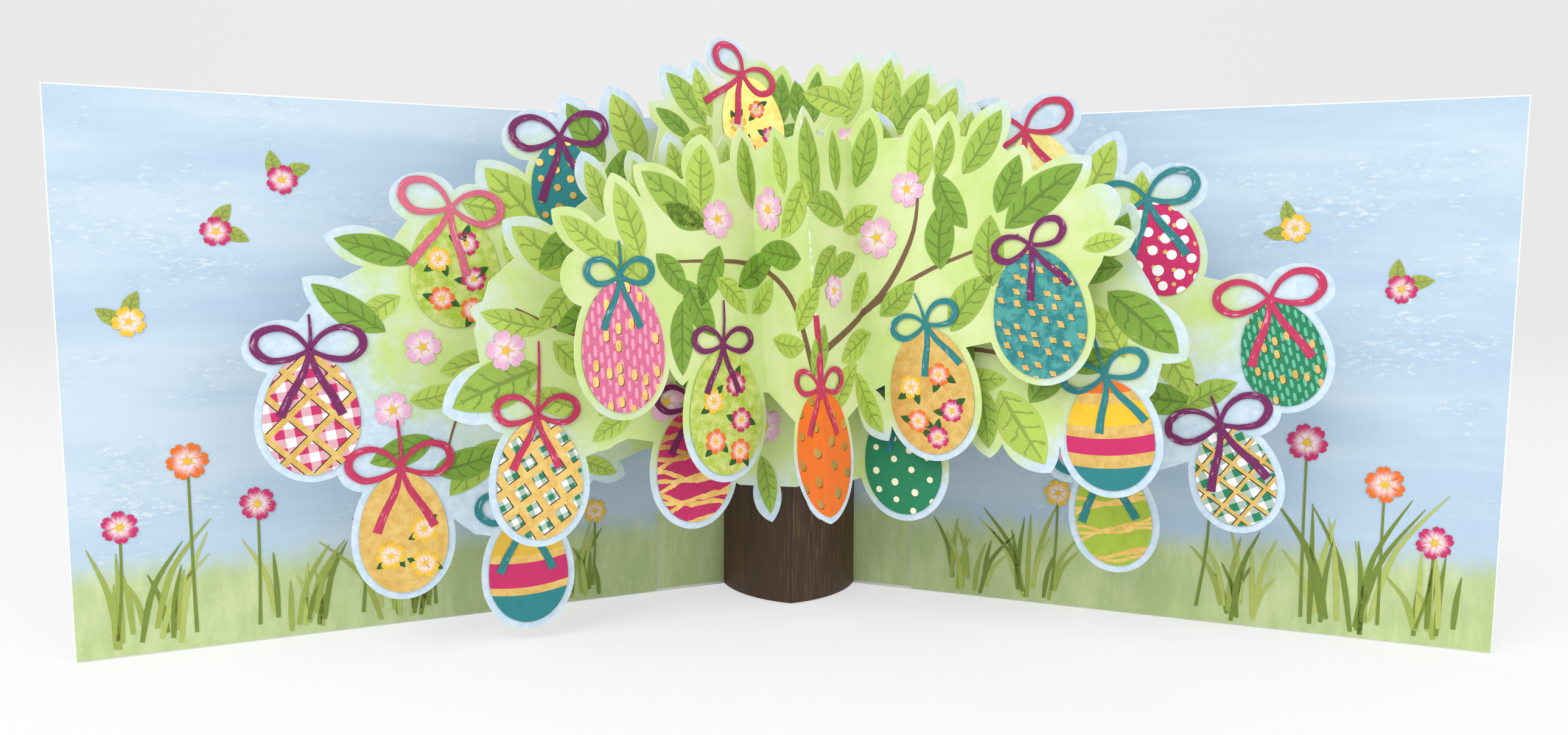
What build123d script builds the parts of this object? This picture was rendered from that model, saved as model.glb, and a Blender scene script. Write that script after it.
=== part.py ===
"""Pop-up greeting card, standing open: a folded cover, two page liners, a folded centre strip,
a V-folded tree trunk and four die-cut canopy sheets, held one in front of another by glued
paper struts.

Millimetres. X runs to the right, the card opens towards -Y, Z is up. The origin is on the
inner face of the cover's fold, at its foot.
"""
import os
from math import cos, hypot, radians, sin, sqrt

from build123d import *

# Cover and pages
page_height = 127.0
page_width = 174.0
opening_half = 67.8         # between each half of the cover and the line straight out of the spine
cover_thick = 0.4
liner_thick = 0.25
strip_left = 39.0           # centre strip, from the spine to its seam with each page
strip_right = 36.0
seam_gap = 0.2
page_inset = 0.3
strip_lift = 0.8            # the strip is this much shorter at the foot and at the top

# Die-cut sheets
sheet_thick = 0.35
rim = 1.6                   # plain border between the print and the cut edge
bow_loop = (4.9, 3.6)       # half axes of one loop of a printed bow, at a bow size of 1
bow_spread = 5.6            # from the knot to the middle of a loop, at a bow size of 1
bow_rise = 1.2              # from the knot up to the middle of a loop
bow_droop = 14.0            # slope of each loop, outer end down
back_bow_size = 1.1
crown_bow_size = 0.85
middle_bow_size = 0.9
front_bow_size = 0.8

# Trunk
trunk_fold = 26.5           # its fold, in front of the spine
trunk_foot = 19.5           # from the spine to each edge that is glued, along the strip
trunk_bulge = 3.2           # how far each side bows outwards
trunk_tab = 7.0
trunk_lift = 0.3
trunk_glued_height = 27.0
trunk_top = 98.0
trunk_top_half_width = 12.0

# Folds of the canopy sheets: how far in front of the spine, and the angle of their wings
fold_gap = 0.4              # clear space between the trunk's fold and the back canopy's
crown_fold = 34.0
crown_half = 64.0
middle_fold = 42.0
middle_half = 61.5
middle_lean = 4.0           # top towards -X
front_valley = 55.0
front_left_half = 51.5
front_right_half = 58.5
front_lean = 4.6
front_centre = 3.6          # the front canopy's middle, right of the spine
centre_panel = 20.0         # width of each of the two panels that fold forwards
centre_half_span = 11.6     # from the middle to each valley fold
lean_height = 75.0          # where a leaning sheet crosses its upright place

# Struts: place across on the left and on the right, low and high edge
strut_thick = 0.3
tab_width = 8.0
tab_slope = 0.25            # how far a tab narrows at each end, for each millimetre of its width
page_struts = (-72.0, 72.0, 56.0, 88.0)
middle_struts = (-45.0, 45.0, 66.0, 96.0)
front_struts = (-33.0, 40.0, 80.0, 98.0)
crown_struts = (-16.0, 16.0, 104.0, 116.0)


# Print that touches the cut edge. Across is measured along the unfolded sheet from its middle
# fold, up from the foot of the card.
# eggs: across, up, width, height, turn, turn of the bow.
# leaves: across and up of the cut tip, across and up of the base, fullness.
BACK_EGGS = [
    (-113.5, 56.5, 19.5, 26.0, 0, 0), (-95.5, 29.0, 19.0, 27.5, 1, 3), (-68.0, 17.5, 18.5, 25.5, 2, 0),
    (-83.0, 87.5, 19.5, 25.5, 3, -12), (-58.0, 106.5, 15.5, 21.0, 5, 7),
    (62.0, 110.0, 14.5, 20.5, 24, 16), (88.5, 93.0, 15.5, 21.5, 17, 12),
    (114.5, 70.0, 17.0, 23.0, 14, 12), (106.0, 42.0, 16.5, 22.5, 17, 19),
    (80.0, 31.0, 17.0, 24.0, 12, 8),
]
BACK_LEAVES = [
    (-114.5, 86.0, -100.5, 76.0, 0.42), (-110.0, 95.0, -94.0, 90.5, 0.42),
    (-77.5, 112.0, -63.5, 96.5, 0.50), (-58.5, 127.5, -50.0, 115.0, 0.48),
    (-47.5, 130.5, -41.0, 114.5, 0.52), (-87.0, 35.0, -75.0, 46.5, 0.50),
    (-44.5, 38.0, -54.0, 42.0, 0.50), (51.5, 128.0, 43.0, 118.0, 0.50),
    (78.5, 119.5, 72.0, 104.5, 0.50), (84.0, 112.5, 83.0, 102.5, 0.50),
    (-30.0, 126.0, -27.0, 114.0, 0.45), (33.0, 126.0, 29.0, 114.0, 0.45),
]
BACK_BODY = [
    (-119, 72), (-110, 84), (-99, 90), (-91, 101), (-78, 106), (-64, 108), (-57, 118), (-40, 121),
    (0, 121), (42, 122), (56, 116), (66, 106), (81, 101), (97, 87), (110, 84), (110, 62), (99, 46),
    (89, 42), (78, 44), (70, 39), (62, 46), (49, 48), (0, 47), (-40, 44), (-50, 40), (-57, 32),
    (-66, 24), (-80, 27), (-88, 34), (-98, 36), (-106, 46), (-114, 52),
]
CROWN_EGGS = [(-11.5, 122.5, 16.0, 22.0, 15, -30)]
CROWN_LEAVES = [
    (-38.0, 126.0, -29.0, 119.5, 0.42), (-35.0, 134.5, -25.5, 123.5, 0.45),
    (-27.0, 136.5, -23.0, 125.5, 0.42), (-3.5, 137.0, -4.5, 124.0, 0.45),
    (6.5, 137.5, 5.0, 125.0, 0.42), (17.0, 139.0, 14.0, 125.0, 0.45),
    (25.0, 139.0, 23.0, 126.0, 0.45), (35.0, 135.0, 26.5, 121.5, 0.45),
    (41.5, 131.5, 35.0, 119.5, 0.50), (45.0, 126.0, 41.0, 114.5, 0.50),
]
CROWN_BODY = [
    (-35, 122), (-30, 130), (-22, 131), (-8, 131), (0, 132.5), (11, 134), (20, 134.5), (29, 131.5),
    (37, 128), (41, 122), (43, 112), (36, 104), (20, 100), (0, 99), (-20, 100), (-34, 104),
    (-37, 113),
]
MIDDLE_EGGS = [
    (-66.0, 47.0, 19.0, 26.0, -2, -6), (-29.5, 44.5, 19.0, 26.5, -2, -6),
    (26.0, 42.0, 19.0, 26.0, 0, 8), (73.5, 48.5, 18.5, 24.0, 2, 16),
]
MIDDLE_LEAVES = [
    (-85.0, 64.0, -67.0, 70.0, 0.58), (-69.0, 102.5, -55.0, 91.0, 0.50),
    (-77.5, 84.5, -64.5, 80.0, 0.45), (-50.5, 116.5, -47.0, 105.0, 0.45),
    (-39.5, 116.5, -36.0, 106.5, 0.42), (-30.0, 120.5, -27.5, 108.0, 0.45),
    (-15.5, 120.0, -14.5, 110.0, 0.40), (-55.5, 52.5, -45.5, 57.5, 0.50),
    (-10.0, 27.5, -11.5, 41.5, 0.42), (3.5, 26.5, 3.0, 38.5, 0.42),
    (10.0, 120.0, 11.0, 108.0, 0.42), (24.0, 122.5, 27.0, 110.0, 0.42),
    (79.5, 97.5, 76.0, 88.0, 0.50), (89.5, 64.5, 76.5, 77.0, 0.55),
    (60.5, 40.0, 51.5, 55.5, 0.60), (47.0, 43.0, 45.5, 57.0, 0.50),
    (57.0, 105.0, 49.0, 96.0, 0.50),
]
MIDDLE_BODY = [
    (-77, 80), (-73, 90), (-60, 100), (-49, 107), (-31, 112), (0, 113), (20, 116), (46, 107),
    (72, 98), (80, 86), (87, 72), (83, 58), (76, 50), (67, 45), (57, 47), (40, 47), (20, 39),
    (8, 35), (-3, 35), (-18, 38), (-34, 50), (-45, 53), (-57, 50), (-66, 50), (-71, 61), (-76, 68),
]
FRONT_EGGS = [
    (-57.5, 75.0, 20.0, 27.5, -2, -3), (-32.5, 57.5, 20.0, 28.5, -2, -6), (0.0, 47.5, 19.5, 27.5, 0, 0),
    (36.0, 58.5, 20.0, 28.5, 1, 18), (61.5, 75.0, 20.0, 27.5, 4, 20),
]
FRONT_LEAVES = [
    (-71.0, 104.0, -60.0, 95.0, 0.44), (-56.5, 111.0, -52.0, 95.5, 0.46),
    (-51.0, 112.5, -36.5, 100.5, 0.46), (-33.0, 119.0, -34.5, 105.0, 0.60),
    (-22.0, 120.5, -20.5, 105.0, 0.42), (-43.5, 65.0, -42.0, 80.5, 0.44),
    (-10.0, 119.5, -8.0, 107.0, 0.42), (1.0, 122.5, 2.0, 104.0, 0.44),
    (12.0, 120.0, 12.0, 107.0, 0.42), (24.5, 47.0, 16.5, 61.0, 0.45),
    (26.0, 122.5, 21.5, 108.0, 0.46), (38.0, 121.0, 35.5, 105.5, 0.44),
    (44.5, 119.5, 41.0, 107.5, 0.42), (57.0, 120.0, 48.0, 108.0, 0.46),
    (60.0, 110.5, 54.5, 99.0, 0.50), (74.0, 106.5, 58.0, 95.5, 0.46),
    (82.0, 90.0, 73.0, 88.5, 0.50),
]
FRONT_BLOSSOMS = [(-64.5, 90.0, 6.0), (75.0, 96.5, 4.5)]
FRONT_BODY = [
    (-65, 99), (-53, 105), (-37, 110), (-20, 115), (0, 117), (20, 116), (38, 115), (53, 113),
    (60, 106), (70, 101), (78, 93), (75, 85), (69, 76), (55, 70), (43, 68), (29, 62), (20, 58),
    (10, 54), (-10, 54), (-19, 60), (-31, 62), (-45, 72), (-60, 78), (-66, 85),
]


def offset_path(path, distance):
    """Points of a plan path moved sideways, towards the front of the card when positive."""
    moved = []
    for index, point in enumerate(path):
        before = path[max(index - 1, 0):index + 1]
        after = path[index:index + 2]
        sides = []
        for leg in (before, after):
            if len(leg) == 2:
                length = hypot(leg[1][0] - leg[0][0], leg[1][1] - leg[0][1])
                sides.append(((leg[1][1] - leg[0][1]) / length, (leg[0][0] - leg[1][0]) / length))
        first, last = sides[0], sides[-1]
        mitre = distance / (1 + first[0] * last[0] + first[1] * last[1])
        moved.append((point[0] + mitre * (first[0] + last[0]), point[1] + mitre * (first[1] + last[1])))
    return moved


def wing_path(fold, half_angle, left_reach, right_reach):
    """Plan path of a V-folded sheet whose fold lies in front of the spine."""
    across, out = sin(radians(half_angle)), cos(radians(half_angle))
    return [
        (-left_reach * across, -fold - left_reach * out),
        (0.0, -fold),
        (right_reach * across, -fold - right_reach * out),
    ]


def leaning_frame(lean):
    """Upright frame of a sheet, turned about Y so that its top goes towards -X."""
    up = Vector(-sin(radians(lean)), 0, cos(radians(lean)))
    right = Vector(cos(radians(lean)), 0, sin(radians(lean)))
    return Plane(origin=Vector(0, 0, lean_height) - up * lean_height, x_dir=right, z_dir=up)


def panel_plane(frame, start, end):
    """Plane of one flat panel: X along it to the right, Y up, Z towards the front."""
    corner = frame.from_local_coords(Vector(start[0], start[1], 0))
    along = frame.from_local_coords(Vector(end[0], end[1], 0)) - corner
    return Plane(origin=corner, x_dir=along, z_dir=along.cross(frame.z_dir))


def egg_shape(across, up, width, height, turn):
    """Egg: two half ellipses that share their widest line, the lower one shorter."""
    low = 0.44 * height
    high = height - low
    with BuildSketch() as egg:
        with BuildLine():
            EllipticalCenterArc((0, low - height / 2), width / 2, high, arc_size=180)
            EllipticalCenterArc((0, low - height / 2), width / 2, low, 180, arc_size=180)
        make_face()
    return Pos(across, up) * Rot(0, 0, turn) * egg.sketch


def egg_with_bow(across, up, width, height, turn, bow_turn, bow_size):
    """Cut line round one egg and the two loops of the bow at its top."""
    knot = height / 2 + rim / 2
    with BuildSketch() as pair:
        add(egg_shape(0, 0, width + 2 * rim, height + 2 * rim, 0))
        with Locations(Location((0, knot), bow_turn - turn)):
            for side in (-1, 1):
                with Locations(Location((side * bow_size * bow_spread, bow_rise), -side * bow_droop)):
                    Ellipse(bow_size * bow_loop[0] + rim, bow_size * bow_loop[1] + rim)
    return Pos(across, up) * Rot(0, 0, turn) * pair.sketch


def leaf_shape(tip_across, tip_up, base_across, base_up, fullness):
    """Cut line round one leaf: two arcs that meet at its tip and its base."""
    length = hypot(tip_across - base_across, tip_up - base_up)
    belly = fullness * length / 2 + rim / 2
    with BuildSketch() as leaf:
        with BuildLine():
            SagittaArc((base_across, base_up), (tip_across, tip_up), belly)
            SagittaArc((tip_across, tip_up), (base_across, base_up), belly)
        make_face()
    return leaf.sketch


def die_line(eggs, bow_size, leaves, body, blossoms=()):
    """Flat cut-out of a canopy sheet."""
    with BuildSketch() as outline:
        with BuildLine():
            Polyline(*body, close=True)
        make_face()
        for row in eggs:
            add(egg_with_bow(*row, bow_size))
        for row in leaves:
            add(leaf_shape(*row))
        for across, up, radius in blossoms:
            with Locations((across, up)):
                Circle(radius)
    return outline.sketch


def folded_panels(cut_out, path, fold_marks, thick, frame=Plane.XY):
    """The flat panels of a folded sheet, mitred where they meet. fold_marks holds the place
    along the flat sheet of each point of the path."""
    front = offset_path(path, thick / 2)
    back = offset_path(path, -thick / 2)
    box = cut_out.bounding_box()
    panels = []
    for index, mark in enumerate(fold_marks[:-1]):
        plane = panel_plane(frame, path[index], path[index + 1])
        floor = Plane(origin=frame.from_local_coords(Vector(0, 0, box.min.Y - 1)),
                      x_dir=frame.x_dir, z_dir=frame.z_dir)
        corners = [front[index], front[index + 1], back[index + 1], back[index]]
        with BuildPart() as panel:
            with BuildSketch(plane):
                with Locations((-mark, 0)):
                    add(cut_out)
            extrude(amount=4 * thick, both=True)
            with BuildSketch(floor):
                with BuildLine():
                    Polyline(*corners, close=True)
                make_face()
            extrude(amount=box.size.Y + 2, mode=Mode.INTERSECT)
        panels.append(panel.part)
    return panels



def meeting_point(plane, across, up):
    """Point of an upright plane straight behind or before a place seen from the front."""
    way = plane.z_dir
    from_corner = Vector(across, 0, up) - Vector(plane.origin.X, 0, plane.origin.Z)
    depth = plane.origin.Y - (from_corner.X * way.X + from_corner.Z * way.Z) / way.Y
    return plane.to_local_coords(Vector(across, depth, up))


def tab_outline(plane, across, low, high, outward):
    """Corners of a glue tab that starts at a strut's web and lies on a sheet's face."""
    foot = meeting_point(plane, across, low)
    head = meeting_point(plane, across, high)
    reach = outward * tab_width
    slope = tab_slope * tab_width
    return [
        (foot.X, foot.Y),
        (head.X, head.Y),
        (head.X + reach, head.Y - slope),
        (foot.X + reach, foot.Y + slope),
    ]


def strut_between(rear_face, front_face, across, low, high):
    """Strip of paper with an upright web and a glue tab folded outwards at each end."""
    outward = 1 if across > 0 else -1
    with BuildPart() as strut:
        with BuildSketch(Plane.XY.offset(low)):
            with Locations((across, -page_width / 2)):
                Rectangle(strut_thick, page_width)
        extrude(amount=high - low)
        split(bisect_by=rear_face, keep=Keep.TOP)
        split(bisect_by=front_face, keep=Keep.BOTTOM)
        for face, toward in ((rear_face, 1), (front_face, -1)):
            with BuildSketch(face):
                with BuildLine():
                    Polyline(*tab_outline(face, across, low, high, outward), close=True)
                make_face()
            extrude(amount=toward * strut_thick)
    return strut.part


# Cover: one folded sheet; its inner face is the reference of the whole card
card_path = wing_path(0, opening_half, page_width, page_width)
outer_path = offset_path(card_path, -cover_thick)
with BuildPart() as cover:
    with BuildSketch():
        with BuildLine():
            Polyline(*card_path, *reversed(outer_path), close=True)
        make_face()
    extrude(amount=page_height)

# Page liners, glued to the inner faces of the cover
left_inside = panel_plane(Plane.XY, card_path[0], card_path[1])
right_inside = panel_plane(Plane.XY, card_path[1], card_path[2])
left_page_width = page_width - page_inset - strip_left - seam_gap
right_page_width = page_width - page_inset - strip_right - seam_gap
with BuildPart() as left_page:
    with BuildSketch(left_inside):
        with Locations((page_inset, page_inset)):
            Rectangle(left_page_width, page_height - 2 * page_inset, align=(Align.MIN, Align.MIN))
    extrude(amount=liner_thick)
with BuildPart() as right_page:
    with BuildSketch(right_inside):
        with Locations((strip_right + seam_gap, page_inset)):
            Rectangle(right_page_width, page_height - 2 * page_inset, align=(Align.MIN, Align.MIN))
    extrude(amount=liner_thick)

# Centre strip, folded along the spine between the two liners
strip_path = wing_path(0, opening_half, strip_left, strip_right)
strip_front = offset_path(strip_path, liner_thick)
with BuildPart() as centre_strip:
    with BuildSketch(Plane.XY.offset(strip_lift)):
        with BuildLine():
            Polyline(*strip_path, *reversed(strip_front), close=True)
        make_face()
    extrude(amount=page_height - 2 * strip_lift)

# Trunk: two sides that bow outwards from a soft fold, with a tab folded inwards along each foot
feet = offset_path(wing_path(0, opening_half, trunk_foot, trunk_foot), liner_thick + sheet_thick / 2)
with BuildPart() as trunk:
    with BuildSketch(Plane.XY.offset(trunk_lift)):
        with BuildLine():
            SagittaArc(feet[0], (0, -trunk_fold), -trunk_bulge)
            SagittaArc((0, -trunk_fold), feet[2], -trunk_bulge)
            offset(amount=sheet_thick / 2, kind=Kind.ARC, side=Side.BOTH, mode=Mode.REPLACE)
        make_face()
    extrude(amount=trunk_top - trunk_lift)
    foot_half = feet[2][0] + sheet_thick
    with BuildSketch(Plane.XZ):
        with BuildLine():
            Polyline(
                (-foot_half, 0), (foot_half, 0), (foot_half, trunk_glued_height),
                (trunk_top_half_width, trunk_top), (-trunk_top_half_width, trunk_top),
                (-foot_half, trunk_glued_height), close=True)
        make_face()
    extrude(amount=2 * trunk_fold, mode=Mode.INTERSECT)
    for plane, side in ((left_inside, -1), (right_inside, 1)):
        spine = page_width if side < 0 else 0.0
        outer, inner = spine + side * trunk_foot, spine + side * (trunk_foot - trunk_tab)
        slope = tab_slope * trunk_tab
        with BuildSketch(plane.offset(liner_thick)):
            with BuildLine():
                Polyline(
                    (outer, trunk_lift), (inner, trunk_lift + slope),
                    (inner, trunk_glued_height - slope), (outer, trunk_glued_height), close=True)
            make_face()
        extrude(amount=sheet_thick)

# Back canopy: a wide V with its fold just in front of the trunk's
back_fold = trunk_fold + fold_gap + sheet_thick / 2 * (1 + 1 / sin(radians(opening_half)))
back_path = wing_path(back_fold, opening_half, page_width, page_width)
with BuildPart() as back_canopy:
    back_cut = die_line(BACK_EGGS, back_bow_size, BACK_LEAVES, BACK_BODY)
    for panel in folded_panels(back_cut, back_path, [-page_width, 0, page_width], sheet_thick):
        add(panel)

# Crown: a small V that stands in front of the back canopy's top
crown_path = wing_path(crown_fold, crown_half, page_width, page_width)
with BuildPart() as crown:
    crown_cut = die_line(CROWN_EGGS, crown_bow_size, CROWN_LEAVES, CROWN_BODY)
    for panel in folded_panels(crown_cut, crown_path, [-page_width, 0, page_width], sheet_thick):
        add(panel)

# Middle canopy: a V that leans
middle_frame = leaning_frame(middle_lean)
middle_path = wing_path(middle_fold, middle_half, page_width, page_width)
with BuildPart() as middle_canopy:
    middle_cut = die_line(MIDDLE_EGGS, middle_bow_size, MIDDLE_LEAVES, MIDDLE_BODY)
    for panel in folded_panels(
            middle_cut, middle_path, [-page_width, 0, page_width], sheet_thick, middle_frame):
        add(panel)

# Front canopy: four panels, the middle two folded out towards the reader
front_frame = leaning_frame(front_lean)
centre_rise = sqrt(centre_panel ** 2 - centre_half_span ** 2)
left_valley = (front_centre - centre_half_span, -front_valley)
right_valley = (front_centre + centre_half_span, -front_valley)
front_path = [
    (left_valley[0] - page_width * sin(radians(front_left_half)),
     left_valley[1] - page_width * cos(radians(front_left_half))),
    left_valley,
    (front_centre, -front_valley - centre_rise),
    right_valley,
    (right_valley[0] + page_width * sin(radians(front_right_half)),
     right_valley[1] - page_width * cos(radians(front_right_half))),
]
front_marks = [-centre_panel - page_width, -centre_panel, 0, centre_panel, centre_panel + page_width]
with BuildPart() as front_canopy:
    front_cut = die_line(FRONT_EGGS, front_bow_size, FRONT_LEAVES, FRONT_BODY, FRONT_BLOSSOMS)
    for panel in folded_panels(front_cut, front_path, front_marks, sheet_thick, front_frame):
        add(panel)

# Faces that the struts are glued to
half = sheet_thick / 2
page_faces = [left_inside.offset(liner_thick), right_inside.offset(liner_thick)]
back_planes = [panel_plane(Plane.XY, back_path[i], back_path[i + 1]) for i in (0, 1)]
crown_planes = [panel_plane(Plane.XY, crown_path[i], crown_path[i + 1]) for i in (0, 1)]
middle_planes = [panel_plane(middle_frame, middle_path[i], middle_path[i + 1]) for i in (0, 1)]
front_planes = [panel_plane(front_frame, front_path[i], front_path[i + 1]) for i in (0, 3)]

page_side = [plane.offset(-half) for plane in back_planes]
back_side = [plane.offset(half) for plane in back_planes]
crown_side = [plane.offset(-half) for plane in crown_planes]
middle_side = [plane.offset(-half) for plane in middle_planes]
middle_front_side = [plane.offset(half) for plane in middle_planes]
front_side = [plane.offset(-half) for plane in front_planes]

# name: the faces behind and in front on each wing; then left, right, low edge, high edge
STRUTS = {
    "page": (page_faces, page_side, page_struts),
    "middle": (back_side, middle_side, middle_struts),
    "front": (middle_front_side, front_side, front_struts),
    "crown": (back_side, crown_side, crown_struts),
}

pieces = {
    "cover": cover.part,
    "left_page": left_page.part,
    "right_page": right_page.part,
    "centre_strip": centre_strip.part,
    "trunk": trunk.part,
    "back_canopy": back_canopy.part,
    "crown": crown.part,
    "middle_canopy": middle_canopy.part,
    "front_canopy": front_canopy.part,
}
for name, (rear_faces, front_faces, (left, right, low, high)) in STRUTS.items():
    for side, index, across in (("left", 0, left), ("right", 1, right)):
        strut = strut_between(rear_faces[index], front_faces[index], across, low, high)
        pieces[f"{side}_{name}_strut"] = strut

os.makedirs("parts", exist_ok=True)
for name, piece in pieces.items():
    piece.label = name
    export_step(piece, f"parts/{name}.step")
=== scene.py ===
"""Print, foil and paper of a pop-up greeting card, built on its paper sheets.

Sizes on the sheets are in millimetres. A place on a sheet is given along the flat sheet from its
middle fold, up from the card's foot, and by its height off the paper.
"""

import random
from math import cos, hypot, pi, radians, sin, sqrt

import bmesh
import bpy
from mathutils import Matrix, Vector


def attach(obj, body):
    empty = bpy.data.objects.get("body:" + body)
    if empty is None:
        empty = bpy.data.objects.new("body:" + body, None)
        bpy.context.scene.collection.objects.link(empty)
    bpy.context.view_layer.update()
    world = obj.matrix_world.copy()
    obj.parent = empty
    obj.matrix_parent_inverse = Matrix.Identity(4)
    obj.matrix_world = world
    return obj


bl_info = {
    "name": "Pop-up Card Print",
    "version": (1, 0, 0),
    "blender": (4, 5, 0),
    "location": "3D View > Sidebar > Card",
    "description": "Prints, foils and stages a pop-up greeting card with a paper tree",
    "category": "Object",
}

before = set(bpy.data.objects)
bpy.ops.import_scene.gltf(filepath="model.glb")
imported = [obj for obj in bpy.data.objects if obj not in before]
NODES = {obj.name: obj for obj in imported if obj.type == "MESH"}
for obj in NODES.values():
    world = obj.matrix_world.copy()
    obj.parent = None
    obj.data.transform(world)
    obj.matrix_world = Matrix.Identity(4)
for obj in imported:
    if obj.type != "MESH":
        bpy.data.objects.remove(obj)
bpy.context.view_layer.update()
MM = 0.001

# The card's folds, as it stands open
PAGE = 174.0
OPEN = 67.8
PAPER = 0.35
LINER = 0.25
LEAN_HEIGHT = 75.0
PRINT = 0.03                # thickness of one printed layer
STEP = 0.045                # from one layer to the next

# Print that touches the cut edges. Eggs: across, up, width, height, turn, turn and size of the
# bow, length of the string above it, pattern, colour of the bow.
BACK_EGGS = [
    (-113.5, 56.5, 19.5, 26.0, 0, 0, 1.1, 8, "magenta_check", "purple"),
    (-95.5, 29.0, 19.0, 27.5, 1, 3, 1.1, 11, "gold_daisies", "rose"),
    (-68.0, 17.5, 18.5, 25.5, 2, 0, 1.1, 0, "teal_stripes", "teal"),
    (-83.0, 87.5, 19.5, 25.5, 3, -12, 1.1, 0, "lime_flowers", "pink"),
    (-58.0, 106.5, 15.5, 21.0, 5, 7, 1.1, 0, "teal_spots", "purple"),
    (62.0, 110.0, 14.5, 20.5, 24, 16, 1.1, 0, "yellow_wash", "rose"),
    (88.5, 93.0, 15.5, 21.5, 17, 12, 1.1, 0, "magenta_spots", "teal"),
    (114.5, 70.0, 17.0, 23.0, 14, 12, 1.1, 0, "green_dashes", "rose"),
    (106.0, 42.0, 16.5, 22.5, 17, 19, 1.1, 7, "green_check", "purple"),
    (80.0, 31.0, 17.0, 24.0, 12, 8, 1.1, 0, "lime_strings", "teal"),
]
CROWN_EGGS = [(-11.5, 122.5, 16.0, 22.0, 15, -30, 0.85, 0, "gold_flowers", "rose")]
MIDDLE_EGGS = [
    (-66.0, 47.0, 19.0, 26.0, -2, -6, 0.9, 16, "green_lattice", "rose"),
    (-29.5, 44.5, 19.0, 26.5, -2, -6, 0.9, 0, "magenta_strings", "purple"),
    (26.0, 42.0, 19.0, 26.0, 0, 8, 0.9, 0, "green_spots", "teal"),
    (73.5, 48.5, 18.5, 24.0, 2, 16, 0.9, 18, "bright_stripes", "teal"),
]
FRONT_EGGS = [
    (-57.5, 75.0, 20.0, 27.5, -2, -3, 0.8, 7.5, "pink_dashes", "teal"),
    (-32.5, 57.5, 20.0, 28.5, -2, -6, 0.8, 10, "lime_flowers", "purple"),
    (0.0, 47.5, 19.5, 27.5, 0, 0, 0.8, 16, "orange_spots", "rose"),
    (36.0, 58.5, 20.0, 28.5, 1, 18, 0.8, 7.5, "gold_flowers", "teal"),
    (61.5, 75.0, 20.0, 27.5, 4, 20, 0.8, 0, "teal_flakes", "purple"),
]
# Leaves: across and up of the cut tip, across and up of the base, fullness
BACK_LEAVES = [
    (-114.5, 86.0, -100.5, 76.0, 0.42), (-110.0, 95.0, -94.0, 90.5, 0.42),
    (-77.5, 112.0, -63.5, 96.5, 0.50), (-58.5, 127.5, -50.0, 115.0, 0.48),
    (-47.5, 130.5, -41.0, 114.5, 0.52), (-87.0, 35.0, -75.0, 46.5, 0.50),
    (-44.5, 38.0, -54.0, 42.0, 0.50), (51.5, 128.0, 43.0, 118.0, 0.50),
    (78.5, 119.5, 72.0, 104.5, 0.50), (84.0, 112.5, 83.0, 102.5, 0.50),
    (-30.0, 126.0, -27.0, 114.0, 0.45), (33.0, 126.0, 29.0, 114.0, 0.45),
]
CROWN_LEAVES = [
    (-38.0, 126.0, -29.0, 119.5, 0.42), (-35.0, 134.5, -25.5, 123.5, 0.45),
    (-27.0, 136.5, -23.0, 125.5, 0.42), (-3.5, 137.0, -4.5, 124.0, 0.45),
    (6.5, 137.5, 5.0, 125.0, 0.42), (17.0, 139.0, 14.0, 125.0, 0.45),
    (25.0, 139.0, 23.0, 126.0, 0.45), (35.0, 135.0, 26.5, 121.5, 0.45),
    (41.5, 131.5, 35.0, 119.5, 0.50), (45.0, 126.0, 41.0, 114.5, 0.50),
]
MIDDLE_LEAVES = [
    (-85.0, 64.0, -67.0, 70.0, 0.58), (-69.0, 102.5, -55.0, 91.0, 0.50),
    (-77.5, 84.5, -64.5, 80.0, 0.45), (-50.5, 116.5, -47.0, 105.0, 0.45),
    (-39.5, 116.5, -36.0, 106.5, 0.42), (-30.0, 120.5, -27.5, 108.0, 0.45),
    (-15.5, 120.0, -14.5, 110.0, 0.40), (-55.5, 52.5, -45.5, 57.5, 0.50),
    (-10.0, 27.5, -11.5, 41.5, 0.42), (3.5, 26.5, 3.0, 38.5, 0.42),
    (10.0, 120.0, 11.0, 108.0, 0.42), (24.0, 122.5, 27.0, 110.0, 0.42),
    (79.5, 97.5, 76.0, 88.0, 0.50), (89.5, 64.5, 76.5, 77.0, 0.55),
    (60.5, 40.0, 51.5, 55.5, 0.60), (47.0, 43.0, 45.5, 57.0, 0.50),
    (57.0, 105.0, 49.0, 96.0, 0.50),
]
FRONT_LEAVES = [
    (-71.0, 104.0, -60.0, 95.0, 0.44), (-56.5, 111.0, -52.0, 95.5, 0.46),
    (-51.0, 112.5, -36.5, 100.5, 0.46), (-33.0, 119.0, -34.5, 105.0, 0.60),
    (-22.0, 120.5, -20.5, 105.0, 0.42), (-43.5, 65.0, -42.0, 80.5, 0.44),
    (-10.0, 119.5, -8.0, 107.0, 0.42), (1.0, 122.5, 2.0, 104.0, 0.44),
    (12.0, 120.0, 12.0, 107.0, 0.42), (24.5, 47.0, 16.5, 61.0, 0.45),
    (26.0, 122.5, 21.5, 108.0, 0.46), (38.0, 121.0, 35.5, 105.5, 0.44),
    (44.5, 119.5, 41.0, 107.5, 0.42), (57.0, 120.0, 48.0, 108.0, 0.46),
    (60.0, 110.5, 54.5, 99.0, 0.50), (74.0, 106.5, 58.0, 95.5, 0.46),
    (82.0, 90.0, 73.0, 88.5, 0.50),
]
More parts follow.
